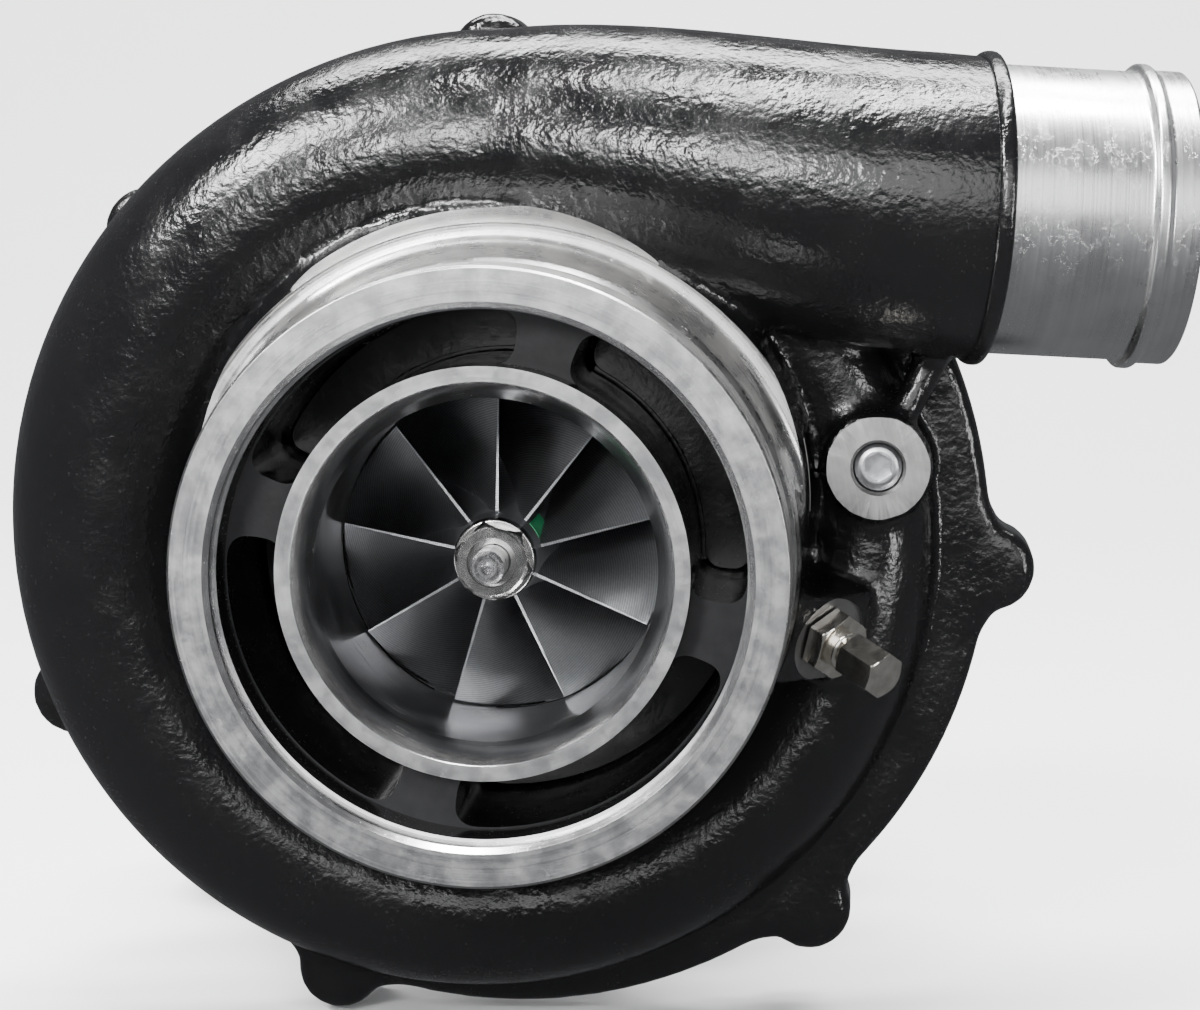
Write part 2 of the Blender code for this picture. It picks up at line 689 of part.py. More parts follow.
def make_clamps(axis, steel):
    """Three plates that hold the seal plate in the cover, with two bolts each."""
    for index, (first, last) in enumerate(LUG_PAIRS):
        count = 10
        low, high = first - CLAMP_END_ANGLE, last + CLAMP_END_ANGLE
        sweep = [blend(low, high, i / count) for i in range(count + 1)]
        outline = [polar(LUG_OUTER_R - CLAMP_INSET, angle) for angle in sweep[1:-1]]
        outline.insert(0, polar(BOLT_CIRCLE_R - OVERLAP, low))
        outline.append(polar(BOLT_CIRCLE_R - OVERLAP, high))
        outline += [polar(CLAMP_INNER_R, angle) for angle in reversed(sweep)]
        name = f"cover_clamp_{index + 1}"
        clamp = place(name, plate(outline, CLAMP_Y, CLAMP_Y + CLAMP_THICKNESS), axis, steel)
        holes = bmesh.new()
        for angle in (first, last):
            ends_y = (CLAMP_Y - PAST, CLAMP_Y + CLAMP_THICKNESS + PAST)
            rod(*[polar(BOLT_CIRCLE_R, angle, y) for y in ends_y], BOLT_R + GAP, HOLE_SIDES, bm=holes)
        cut(clamp, f"cut_clamp_{index + 1}", holes)


def make_cover_bolts(axis, steel):
    head_y = CLAMP_Y + CLAMP_THICKNESS + GAP
    for index, angle in enumerate(lug_angles()):
        ends = [polar(BOLT_CIRCLE_R, angle, y) for y in (head_y, head_y + BOLT_HEAD_HEIGHT)]
        bolt = place(f"cover_bolt_{index + 1}", rod(*ends, BOLT_HEAD_R, 6), axis, steel)
        ends = [polar(BOLT_CIRCLE_R, angle, y) for y in (COVER_LENGTH - BOLT_DEPTH, head_y + OVERLAP)]
        join(bolt, f"bolt_shank_{index + 1}", rod(*ends, BOLT_R, HOLE_SIDES))


# Wheels -----------------------------------------------------------------------------


def bladed(stations, angles):
    """Closed blades: each station is (hub point, tip point, wrap) with (radius, y) points."""
    bm = bmesh.new()
    for first in angles:
        rings = []
        for hub, tip, wrap in stations:
            middle = tuple(blend(a, b, 0.5) for a, b in zip(hub, tip))
            line = [(hub, BLADE_ROOT), (middle, 0.5 * (BLADE_ROOT + BLADE_TIP)), (tip, BLADE_TIP)]
            sides = []
            for sign in (-1.0, 1.0):
                side = []
                for (radius, y), thick in line:
                    lean = math.degrees(0.5 * sign * thick / radius)
                    side.append(polar(radius, first + wrap + lean, y))
                sides.append(side)
            rings.append(sides[0] + sides[1][::-1])
        loft(rings, bm)
    return bm


def compressor_stations():
    """Blade lines that follow the hub and the shroud from inducer to exducer."""
    stations = []
    count = 5
    for i in range(count + 1):
        share = i / count
        phase = 0.5 * math.pi * share
        hub_r = blend(EXDUCER_R, WHEEL_HUB_R, math.cos(phase)) - OVERLAP * math.cos(phase)
        hub_y = blend(INDUCER_HUB_Y, WHEEL_RIM_Y + 0.6 * WHEEL_RIM_THICKNESS, math.sin(phase))
        tip_r = blend(EXDUCER_R, INDUCER_R, math.cos(phase))
        tip_y = blend(INDUCER_TIP_Y, WHEEL_RIM_Y - EXDUCER_HEIGHT, math.sin(phase))
        wrap = math.degrees(2.1 * share - 0.885 * share ** 2)
        stations.append(((hub_r, hub_y), (tip_r, tip_y), wrap))
    return stations


def make_compressor_wheel(axis, aluminium):
    hub = [(WHEEL_BORE_R, WHEEL_NOSE_Y), (WHEEL_NOSE_R, WHEEL_NOSE_Y), (WHEEL_HUB_R, INDUCER_HUB_Y)]
    for i in range(1, 7):
        phase = 0.5 * math.pi * i / 6
        y = blend(INDUCER_HUB_Y, WHEEL_RIM_Y, math.sin(phase))
        hub.append((blend(EXDUCER_R, WHEEL_HUB_R, math.cos(phase)), y))
    rim = EXDUCER_R + 0.1 * WHEEL_BACK_CLEARANCE
    hub[-1] = (rim, WHEEL_RIM_Y)
    hub += [
        (rim, WHEEL_BACK_Y), (WHEEL_BOSS_R, WHEEL_BACK_Y), (WHEEL_BOSS_R, WHEEL_END_Y),
        (WHEEL_BORE_R, WHEEL_END_Y),
    ]
    wheel = place("compressor_wheel", turned(hub, 27), axis, aluminium)
    angles = [WHEEL_FIRST_ANGLE + 360.0 * i / WHEEL_BLADES for i in range(WHEEL_BLADES)]
    join(wheel, "compressor_blades", bladed(compressor_stations(), angles))


def turbine_stations():
    """Blade lines from the turbine's rim inwards and back to its outlet."""
    stations = []
    count = 4
    exit_hub_y = TURBINE_NOSE_Y - TURBINE_NOSE_LENGTH
    for i in range(count + 1):
        share = i / count
        phase = 0.5 * math.pi * share
        hub_r = blend(TURBINE_HUB_R, TURBINE_INDUCER_R, 1.0 - math.sin(phase)) - OVERLAP * share
        hub_y = blend(TURBINE_INDUCER_Y - OVERLAP * 0.6, exit_hub_y, 1.0 - math.cos(phase))
        tip_r = blend(TURBINE_EXDUCER_R, TURBINE_INDUCER_R, 1.0 - math.sin(phase))
        tip_low = TURBINE_INDUCER_Y + TURBINE_INDUCER_WIDTH
        tip_y = blend(tip_low, TURBINE_EXDUCER_Y, 1.0 - math.cos(phase))
        wrap = TURBINE_WRAP * share ** 2
        stations.append(((hub_r, hub_y), (tip_r, tip_y), wrap))
    return stations


def make_turbine_wheel(axis, nickel_alloy):
    back = TURBINE_INDUCER_Y - TURBINE_DISC
    hub = [
        (0.0, TURBINE_WELD_Y), (TURBINE_SHAFT_R, TURBINE_WELD_Y), (TURBINE_SHAFT_R, back),
        (TURBINE_INDUCER_R, back), (TURBINE_INDUCER_R, TURBINE_INDUCER_Y),
    ]
    for i in range(1, 6):
        phase = 0.5 * math.pi * i / 5
        y = blend(TURBINE_INDUCER_Y, TURBINE_NOSE_Y - TURBINE_NOSE_LENGTH, 1.0 - math.cos(phase))
        hub.append((blend(TURBINE_HUB_R, TURBINE_INDUCER_R, 1.0 - math.sin(phase)), y))
    hub += [(TURBINE_HUB_R * 0.7, TURBINE_NOSE_Y), (0.0, TURBINE_NOSE_Y)]
    wheel = place("turbine_wheel", turned(hub, 20), axis, nickel_alloy)
    angles = [360.0 * i / TURBINE_BLADES for i in range(TURBINE_BLADES)]
    join(wheel, "turbine_blades", bladed(turbine_stations(), angles))


# Shaft, nut, bearing ----------------------------------------------------------------


def make_shaft(axis, steel):
    end = TURBINE_WELD_Y - GAP
    half = SEAL_WIDTH / 2.0 + GAP
    groove_low, groove_high = TURBINE_SEAL_Y - half, TURBINE_SEAL_Y + half
    cartridge_end = CARTRIDGE_Y + CARTRIDGE_LENGTH
    centre_end = SHAFT_TIP_Y + SHAFT_CENTRE_DEPTH
    outline = [
        (0.0, centre_end), (SHAFT_CENTRE_R, centre_end - SHAFT_CENTRE_R * 0.75),
        (SHAFT_CENTRE_R, SHAFT_TIP_Y), (SHAFT_TIP_R - SHAFT_TIP_CHAMFER, SHAFT_TIP_Y),
        (SHAFT_TIP_R, SHAFT_TIP_Y + SHAFT_TIP_CHAMFER), (SHAFT_TIP_R, WHEEL_NOSE_Y),
        (SHAFT_R, WHEEL_NOSE_Y + SHAFT_TIP_CHAMFER * 2.0), (SHAFT_R, CARTRIDGE_Y - JOURNAL_CHAMFER),
        (JOURNAL_R, CARTRIDGE_Y - GAP), (JOURNAL_R, cartridge_end + GAP),
        (TURBINE_SHAFT_R, cartridge_end + JOURNAL_FILLET), (TURBINE_SHAFT_R, groove_low),
        (SEAL_GROOVE_R, groove_low), (SEAL_GROOVE_R, groove_high), (TURBINE_SHAFT_R, groove_high),
        (TURBINE_SHAFT_R, end), (0.0, end),
    ]
    place("rotor_shaft", turned(outline, 18), axis, steel)


def make_nut(axis, steel):
    """Shaft nut: a hexagon with a round collar in front."""
    seat = WHEEL_NOSE_Y - GAP
    hexagon = rod((0, NUT_Y + NUT_COLLAR_LENGTH, 0), (0, seat, 0), NUT_R, 6, twist=15.0)
    nut = place("compressor_nut", hexagon, axis, steel)
    join(nut, "nut_collar", rod((0, NUT_Y, 0), (0, seat - OVERLAP, 0), NUT_COLLAR_R, 20))
    cut(nut, "cut_nut", rod((0, NUT_Y - PAST, 0), (0, seat + PAST, 0), SHAFT_TIP_R + GAP, 20))


def ring(name, inner, outer, y_low, y_high, axis, material, steps=SMALL_STEPS):
    outline = [(inner, y_low), (outer, y_low), (outer, y_high), (inner, y_high)]
    return place(name, turned(outline, steps), axis, material)


def round_ring(name, radius, thick, y, axis, material, steps=HOUSING_STEPS):
    outline = []
    for i in range(6):
        angle = TURN * i / 6
        outline.append((radius + thick * math.cos(angle), y + thick * math.sin(angle)))
    return place(name, turned(outline, steps), axis, material)


def make_thrust_spacer(axis, steel):
    """Collar between the wheel and the bearing, with the front seal ring's groove."""
    start, end = WHEEL_END_Y + GAP, CARTRIDGE_Y - GAP
    outer = SEAL_BORE_R - SEAL_RUN
    neck = SHAFT_R + 0.0028
    chamfer = 0.0012
    groove = compressor_seal_y()
    half = SEAL_WIDTH / 2.0 + GAP
    outline = [
        (SHAFT_R + GAP, start), (outer, start), (outer, groove - half), (SEAL_GROOVE_R, groove - half),
        (SEAL_GROOVE_R, groove + half), (outer, groove + half), (outer, PLATE_BACK_Y + 0.0015),
        (neck, PLATE_BACK_Y + 0.0030), (neck, end - chamfer), (neck - 0.0008, end),
        (SHAFT_R + 0.0014, end), (SHAFT_R + GAP, end - chamfer),
    ]
    place("thrust_spacer", turned(outline, 20), axis, steel)


def compressor_seal_y():
    return 0.5 * (WHEEL_END_Y + PLATE_BACK_Y) + SEAL_SHIFT


def make_seal_rings(axis, iron):
    half = SEAL_WIDTH / 2.0
    for side, y in (("compressor", compressor_seal_y()), ("turbine", TURBINE_SEAL_Y)):
        name = f"{side}_seal_ring"
        ring(name, SEAL_GROOVE_R + GAP, SEAL_BORE_R - GAP, y - half, y + half, axis, iron)


def make_cartridge(axis, front_axis, rear_axis, bearing_steel):
    """The cartridge's sleeve and its two caged ball sets."""
    sleeve_end = CARTRIDGE_Y + CARTRIDGE_LENGTH
    ring("bearing_sleeve", SLEEVE_BORE_R, SLEEVE_R, CARTRIDGE_Y, sleeve_end, axis, bearing_steel)
    for side, hanger in (("front", front_axis), ("rear", rear_axis)):
        bm = bmesh.new()
        for i in range(BALL_COUNT):
            centre = polar(BALL_CIRCLE_R, 360.0 * i / BALL_COUNT, 0.0)
            at = Matrix.Translation(centre)
            bmesh.ops.create_uvsphere(bm, u_segments=6, v_segments=4, radius=BALL_R, matrix=at)
        balls = place(f"{side}_ball_set", bm, hanger, bearing_steel)
        low, high = BALL_CIRCLE_R - CAGE_HALF_THICKNESS, BALL_CIRCLE_R + CAGE_HALF_THICKNESS
        half = CAGE_HALF_WIDTH
        cage = [(low, -half), (high, -half), (high, half), (low, half)]
        join(balls, f"{side}_cage", turned(cage, 24))


def ball_y(side):
    if side == "front":
        return CARTRIDGE_Y + RACE_WIDTH / 2.0
    return CARTRIDGE_Y + CARTRIDGE_LENGTH - RACE_WIDTH / 2.0


def make_races(axis, bearing_steel):
    for side in ("front", "rear"):
        middle = ball_y(side)
        half = RACE_WIDTH / 2.0
        ring(f"{side}_inner_race", JOURNAL_R + GAP, RACE_R, middle - half, middle + half, axis, bearing_steel)


# Seal plate, centre housing ---------------------------------------------------------


def screw_angles():
    return [45.0 + 90.0 * i for i in range(4)]


def make_seal_plate(axis, aluminium):
    rim = REGISTER_R - GAP
    rim_back = COVER_LENGTH - GAP
    recess_r = EXDUCER_R + WHEEL_BACK_CLEARANCE
    boss_r = WHEEL_BOSS_R + PLATE_HUB_CLEARANCE
    groove_floor = rim - O_RING_INSET - GAP
    groove_low, groove_high = o_ring_groove()
    outline = [
        (recess_r, BACKPLATE_Y), (rim, BACKPLATE_Y), (rim, groove_low), (groove_floor, groove_low),
        (groove_floor, groove_high), (rim, groove_high), (rim, rim_back),
        (PLATE_HUB_R + PLATE_HUB_FOOT, rim_back), (PLATE_HUB_R, rim_back + PLATE_HUB_RISE),
        (PLATE_HUB_R, PLATE_BACK_Y), (SEAL_BORE_R, PLATE_BACK_Y), (SEAL_BORE_R, WHEEL_END_Y + SEAL_RUN),
        (boss_r, WHEEL_END_Y + SEAL_RUN), (boss_r, WHEEL_RECESS_Y), (recess_r, WHEEL_RECESS_Y),
    ]
    seal_plate = place("seal_plate", turned(outline), axis, aluminium)
    floor = screw_seat_y()
    holes = bmesh.new()
    for angle in screw_angles():
        ends = [polar(PLATE_SCREW_CIRCLE_R, angle, y) for y in (WHEEL_RECESS_Y - PAST, floor)]
        rod(*ends, PLATE_SCREW_HEAD_R + GAP, 12, bm=holes)
    cut(seal_plate, "cut_screw_heads", holes)
    holes = bmesh.new()
    for angle in screw_angles():
        ends = [polar(PLATE_SCREW_CIRCLE_R, angle, y) for y in (floor - PAST, PLATE_BACK_Y + PAST)]
        rod(*ends, PLATE_SCREW_R + GAP, HOLE_SIDES, bm=holes)
    cut(seal_plate, "cut_screw_holes", holes)


def screw_seat_y():
    return WHEEL_RECESS_Y + PLATE_SCREW_HEAD + GAP * 2.0


def o_ring_groove():
    middle = 0.5 * (BACKPLATE_Y + COVER_LENGTH)
    half = O_RING_R + GAP
    return middle - half, middle + half


def make_plate_screws(axis, steel):
    seat = screw_seat_y() - GAP
    for index, angle in enumerate(screw_angles()):
        ends = [polar(PLATE_SCREW_CIRCLE_R, angle, y) for y in (seat - PLATE_SCREW_HEAD, seat)]
        screw = place(f"seal_plate_screw_{index + 1}", rod(*ends, PLATE_SCREW_HEAD_R, 12), axis, steel)
        tip = HOUSING_Y + PLATE_SCREW_DEPTH
        ends = [polar(PLATE_SCREW_CIRCLE_R, angle, y) for y in (seat - OVERLAP, tip)]
        join(screw, f"screw_shank_{index + 1}", rod(*ends, PLATE_SCREW_R, HOLE_SIDES))


def make_o_rings(axis, rubber):
    low, high = o_ring_groove()
    radius = REGISTER_R - GAP - O_RING_INSET + O_RING_R
    round_ring("cover_o_ring", radius, O_RING_R, 0.5 * (low + high), axis, rubber, ROUND_STEPS)
    y = HOUSING_Y + GAP + O_RING_R
    radius = HOUSING_FLANGE_R - HOUSING_O_RING_INSET
    round_ring("housing_o_ring", radius, O_RING_R, y, axis, rubber)


def make_center_housing(axis, iron):
    flange_end = HOUSING_Y + HOUSING_FLANGE_LENGTH
    band = HOUSING_END_Y - BAND_FLANGE_LENGTH
    sleeve_bore = SLEEVE_R + GAP
    sleeve_end = CARTRIDGE_Y + CARTRIDGE_LENGTH + GAP
    stop_end = sleeve_end + SLEEVE_STOP_DEPTH
    nose_end = HOUSING_END_Y + HOUSING_NOSE
    ring_low, ring_high = retainer_y() - GAP, retainer_y() + RETAINER_WIDTH + GAP
    ring_r = sleeve_bore + RETAINER_GROOVE
    o_ring = HOUSING_FLANGE_R - HOUSING_O_RING_INSET
    groove = O_RING_R + GAP
    groove_floor = HOUSING_Y + 2.0 * groove + GAP
    outline = [
        (HOUSING_CHAMBER_R, HOUSING_Y), (o_ring - groove, HOUSING_Y), (o_ring - groove, groove_floor),
        (o_ring + groove, groove_floor), (o_ring + groove, HOUSING_Y), (HOUSING_FLANGE_R, HOUSING_Y),
        (HOUSING_FLANGE_R, flange_end), (HOUSING_BARREL_R + HOUSING_FILLET, flange_end),
        (HOUSING_BARREL_R, flange_end + HOUSING_FILLET), (HOUSING_BARREL_R, band - HOUSING_FLARE),
        (HOUSING_BARREL_R + HOUSING_FLARE, band), (BAND_FLANGE_R - BAND_FLANGE_CHAMFER, band),
        (BAND_FLANGE_R, band + BAND_FLANGE_SLOPE), (BAND_FLANGE_R, HOUSING_END_Y),
        (HOUSING_NOSE_FOOT_R, HOUSING_END_Y), (HOUSING_NOSE_R, nose_end), (SEAL_BORE_R, nose_end),
        (SEAL_BORE_R, stop_end), (SLEEVE_STOP_R, stop_end), (SLEEVE_STOP_R, sleeve_end),
        (sleeve_bore, sleeve_end), (sleeve_bore, ring_high), (ring_r, ring_high), (ring_r, ring_low),
        (sleeve_bore, ring_low), (HOUSING_CHAMBER_R, retainer_y() - HOUSING_CHAMBER_LIP),
    ]
    housing = place("center_housing", turned(outline, HOUSING_STEPS), axis, iron)
    boss = rod((0, OIL_Y, OIL_BOSS_FOOT_Z), (0, OIL_Y, OIL_TOP_Z), OIL_BOSS_R, 24)
    join(housing, "housing_oil_boss", boss)
    join(housing, "housing_drain_boss", drain_block(-DRAIN_BOTTOM_Z, -DRAIN_BLOCK_TOP_Z))
    for name, side in (("left", -1.0), ("right", 1.0)):
        ends = [(side * x, OIL_Y, 0.0) for x in (COOLANT_BOSS_FOOT_X, COOLANT_X)]
        join(housing, f"housing_coolant_boss_{name}", rod(*ends, COOLANT_BOSS_R, 24))
        ends = [(side * x, OIL_Y, 0.0) for x in (COOLANT_PORT_FLOOR_X, COOLANT_X + PAST)]
        cut(housing, f"cut_coolant_{name}", rod(*ends, COOLANT_THREAD_R + GAP, 18))
    ends = [(0, OIL_Y, z) for z in (OIL_FEED_FOOT_Z, OIL_TOP_Z - OIL_FEED_TOP)]
    cut(housing, "cut_oil_feed", rod(*ends, OIL_FEED_R, 8, twist=9.0))
    ends = [(0, OIL_Y, z) for z in (OIL_TOP_Z - OIL_PORT_DEPTH, OIL_TOP_Z + PAST)]
    cut(housing, "cut_oil_port", rod(*ends, OIL_THREAD_R + GAP, 18))
    ends = [(0, OIL_Y, z) for z in (-DRAIN_BORE_TOP_Z, -DRAIN_BOTTOM_Z - PAST)]
    cut(housing, "cut_drain", rod(*ends, DRAIN_BORE_R, 20))
    holes = bmesh.new()
    for side in (-1.0, 1.0):
        x = side * DRAIN_BOLT_SPACING
        ends = [(x, OIL_Y, z) for z in (DRAIN_HOLE_DEPTH - DRAIN_BOTTOM_Z, -DRAIN_BOTTOM_Z - PAST)]
        rod(*ends, DRAIN_BOLT_R + GAP, HOLE_SIDES, bm=holes)
    cut(housing, "cut_drain_bolts", holes)
    holes = bmesh.new()
    floor = HOUSING_Y + PLATE_SCREW_DEPTH + GAP
    for angle in screw_angles():
        ends = [polar(PLATE_SCREW_CIRCLE_R, angle, y) for y in (HOUSING_Y - PAST, floor)]
        rod(*ends, PLATE_SCREW_R + GAP, HOLE_SIDES, bm=holes)
    cut(housing, "cut_housing_screws", holes)


def retainer_y():
    return CARTRIDGE_Y - GAP - RETAINER_WIDTH


def drain_block(z_low, z_high):
    """The drain's flange shape: a flat bar with rounded ends, drawn along Z."""
    corner = DRAIN_HALF_DEPTH
    straight = DRAIN_HALF_WIDTH - corner
    outline = []
    for centre, start in ((straight, -90.0), (-straight, 90.0)):
        for i in range(5):
            angle = math.radians(start + 45.0 * i)
            outline.append((centre + corner * math.cos(angle), OIL_Y + corner * math.sin(angle)))
    return loft([[Vector((x, y, z)) for x, y in outline] for z in (z_low, z_high)])


def make_retainer(axis, steel):
    y = retainer_y()
    inner, outer = SLEEVE_R - RETAINER_LIP, SLEEVE_R + GAP + RETAINER_GRIP
    ring("bearing_retainer", inner, outer, y, y + RETAINER_WIDTH, axis, steel)


def make_oil_inlet(axis, steel):
    """Hexagon fitting on the oil boss, with a threaded stub below and a nose above."""
    hex_end = OIL_TOP_Z + OIL_FITTING_HEX_LENGTH
    nose_end = hex_end + OIL_NOSE_LENGTH
    stub_end = OIL_TOP_Z - OIL_STUB_LENGTH
    hexagon = rod((0, OIL_Y, OIL_TOP_Z + GAP), (0, OIL_Y, hex_end), OIL_FITTING_HEX_R, 6)
    fitting = place("oil_inlet_fitting", hexagon, axis, steel)
    ends = [(0, OIL_Y, z) for z in (stub_end, OIL_TOP_Z + OVERLAP * 2.0)]
    join(fitting, "oil_stub", rod(*ends, OIL_THREAD_R, 18))
    ends = [(0, OIL_Y, z) for z in (hex_end - OVERLAP, nose_end)]
    join(fitting, "oil_nose", rod(*ends, OIL_NOSE_R, 18, end_radius=OIL_NOSE_END_R))
    ends = [(0, OIL_Y, z) for z in (stub_end - PAST, nose_end + PAST)]
    cut(fitting, "cut_oil_fitting", rod(*ends, OIL_FITTING_BORE_R, 12))


def make_oil_drain(axis, steel, gasket_grey):
    """Gasket, flange with its pipe neck, and two bolts under the centre housing."""
    gasket_top = -DRAIN_BOTTOM_Z - GAP
    gasket_low = gasket_top - DRAIN_GASKET
    gasket = place("oil_drain_gasket", drain_block(gasket_low, gasket_top), axis, gasket_grey)
    plate_low = gasket_low - GAP - DRAIN_PLATE
    flange = place("oil_drain_flange", drain_block(plate_low, gasket_low - GAP), axis, steel)
    neck_end = plate_low - DRAIN_NECK_LENGTH
    ends = [(0, OIL_Y, z) for z in (plate_low + OVERLAP, neck_end)]
    join(flange, "drain_neck", rod(*ends, DRAIN_BORE_R + DRAIN_NECK_WALL, 20))
    low, high = neck_end - PAST, PAST - DRAIN_BOTTOM_Z
    for piece, name in ((gasket, "gasket"), (flange, "flange")):
        cut(piece, f"cut_drain_{name}", rod((0, OIL_Y, low), (0, OIL_Y, high), DRAIN_BORE_R, 20))
        holes = bmesh.new()
        for side in (-1.0, 1.0):
            x = side * DRAIN_BOLT_SPACING
            rod((x, OIL_Y, low), (x, OIL_Y, high), DRAIN_BOLT_R + GAP, HOLE_SIDES, bm=holes)
        cut(piece, f"cut_drain_{name}_bolts", holes)
    seat = plate_low - GAP
    for index, side in enumerate((-1.0, 1.0)):
        x = side * DRAIN_BOLT_SPACING
        head = rod((x, OIL_Y, seat - DRAIN_BOLT_HEAD), (x, OIL_Y, seat), DRAIN_BOLT_HEAD_R, 6)
        bolt = place(f"drain_bolt_{index + 1}", head, axis, steel)
        ends = ((x, OIL_Y, seat - OVERLAP), (x, OIL_Y, DRAIN_BOLT_DEPTH - DRAIN_BOTTOM_Z))
        join(bolt, f"drain_shank_{index + 1}", rod(*ends, DRAIN_BOLT_R, HOLE_SIDES))


def make_coolant_fittings(axis, steel):
    """A hexagon fitting on each side of the centre housing, with a stub and a nose."""
    start = COOLANT_X + GAP
    hex_end = start + COOLANT_HEX_LENGTH
    stub_end = start - COOLANT_STUB_LENGTH
    nose_end = start + COOLANT_NOSE_END
    for name, side in (("left", -1.0), ("right", 1.0)):
        ends = [(side * x, OIL_Y, 0) for x in (start, hex_end)]
        fitting = place(f"coolant_fitting_{name}", rod(*ends, COOLANT_HEX_R, 6), axis, steel)
        ends = [(side * x, OIL_Y, 0) for x in (stub_end, start + OVERLAP * 2.0)]
        join(fitting, f"coolant_stub_{name}", rod(*ends, COOLANT_THREAD_R, 18))
        ends = [(side * x, OIL_Y, 0) for x in (hex_end - OVERLAP, nose_end)]
        nose = rod(*ends, COOLANT_NOSE_R, 18, end_radius=COOLANT_NOSE_END_R)
        join(fitting, f"coolant_nose_{name}", nose)
        ends = [(side * x, OIL_Y, 0) for x in (stub_end - PAST, nose_end + PAST)]
        cut(fitting, f"cut_coolant_fitting_{name}", rod(*ends, COOLANT_BORE_R, 14))


# Turbine housing --------------------------------------------------------------------


def turbine_centre(travel):
    """Centre and section radius of the turbine's scroll after so many degrees of travel."""
    share = travel / TURBINE_SWEEP
    section = blend(TURBINE_INLET_R, TURBINE_END_SECTION, share)
    radius = blend(TURBINE_SCROLL_X, TURBINE_END_CENTRE_R, share)
    front = TURBINE_Y - TURBINE_INLET_R
    return polar(radius, 180.0 - travel, front + section), section


def turbine_rings(inset, last, start_z):
    rings = []
    up = Vector((0.0, 0.0, 1.0))
    for z in (start_z, -0.5 * TURBINE_FACE_Z):
        rings.append(circle(Vector((-TURBINE_SCROLL_X, TURBINE_Y, z)), up, TURBINE_INLET_R - inset))
    steps = 20
    for i in range(steps + 1):
        travel = last * i / steps
        centre, section = turbine_centre(travel)
        ahead = turbine_centre(travel + 1.0)[0] - turbine_centre(travel - 1.0)[0]
        rings.append(circle(centre, ahead if i else up, section - inset))
    return rings


def turbine_blade_line(clearance):
    """(radius, y) points along the tips of the turbine's blades, rim to outlet."""
    points = []
    tip_low = TURBINE_INDUCER_Y + TURBINE_INDUCER_WIDTH
    for i in range(6):
        phase = 0.5 * math.pi * i / 5
        radius = blend(TURBINE_EXDUCER_R, TURBINE_INDUCER_R, 1.0 - math.sin(phase))
        y = blend(tip_low, TURBINE_EXDUCER_Y, 1.0 - math.cos(phase))
        points.append((radius + clearance * math.sin(phase), y + clearance * math.cos(phase)))
    return points


def make_turbine_housing(axis, iron):
    front = HOUSING_END_Y + GAP
    band_end = front + BAND_FLANGE_LENGTH
    flange_low = TURBINE_OUTLET_Y - TURBINE_OUTLET_FLANGE
    wall_r = TURBINE_OUTLET_R + TURBINE_OUTLET_WALL
    inside = TURBINE_EXDUCER_R - OVERLAP * 2.0
    flange_chamfer = TURBINE_FLANGE_CHAMFER
    core = [
        (inside, front), (BAND_FLANGE_R, front), (BAND_FLANGE_R, band_end - BAND_FLANGE_SLOPE),
        (BAND_FLANGE_R - BAND_FLANGE_CHAMFER, band_end), (TURBINE_COLLAR_R, band_end),
        (TURBINE_COLLAR_R, front + TURBINE_COLLAR_LENGTH), (TURBINE_BODY_R, front + TURBINE_BODY_START),
        (TURBINE_BODY_R, TURBINE_INDUCER_Y + TURBINE_BODY_END),
        (wall_r, TURBINE_EXDUCER_Y + TURBINE_OUTLET_WALL), (wall_r, flange_low - flange_chamfer * 2.0),
        (TURBINE_OUTLET_FLANGE_R - BAND_FLANGE_CHAMFER, flange_low),
        (TURBINE_OUTLET_FLANGE_R, flange_low + flange_chamfer), (TURBINE_OUTLET_FLANGE_R, TURBINE_OUTLET_Y),
        (inside, TURBINE_OUTLET_Y),
    ]
    housing = place("turbine_housing", turned(core), axis, iron)
    scroll = loft(turbine_rings(0.0, TURBINE_SWEEP, OVERLAP - TURBINE_FACE_Z))
    join(housing, "turbine_scroll", scroll)
    low, high = -TURBINE_FACE_Z, TURBINE_FLANGE_LENGTH - TURBINE_FACE_Z
    ends = [(-TURBINE_SCROLL_X, TURBINE_Y, z) for z in (low, high)]
    flange_r = TURBINE_INLET_FLANGE_R
    join(housing, "turbine_flange", rod(*ends, flange_r, 24, end_radius=flange_r - flange_chamfer))
    passage = loft(turbine_rings(TURBINE_WALL, TURBINE_SWEEP - 3.0, -TURBINE_FACE_Z - PAST))
    cut(housing, "cut_turbine_scroll", passage)
    slot_r = TURBINE_END_CENTRE_R
    slot_y = TURBINE_INDUCER_Y + TURBINE_INDUCER_WIDTH + TURBINE_CLEARANCE
    nozzle_front = TURBINE_INDUCER_Y - TURBINE_RIM_CLEARANCE
    seat_y = front + SHIELD_SEAT_DEPTH
    inner = [
        (0.0, front - PAST), (SHIELD_SEAT_R, front - PAST), (SHIELD_SEAT_R, seat_y),
        (SHIELD_STEP_R, seat_y), (SHIELD_STEP_R, nozzle_front), (slot_r, nozzle_front), (slot_r, slot_y),
        *turbine_blade_line(TURBINE_CLEARANCE), (TURBINE_OUTLET_R, TURBINE_OUTLET_Y - TURBINE_OUTLET_TAPER),
        (TURBINE_OUTLET_R, TURBINE_OUTLET_Y + PAST), (0.0, TURBINE_OUTLET_Y + PAST),
    ]
    cut(housing, "cut_turbine_core", turned(inner))


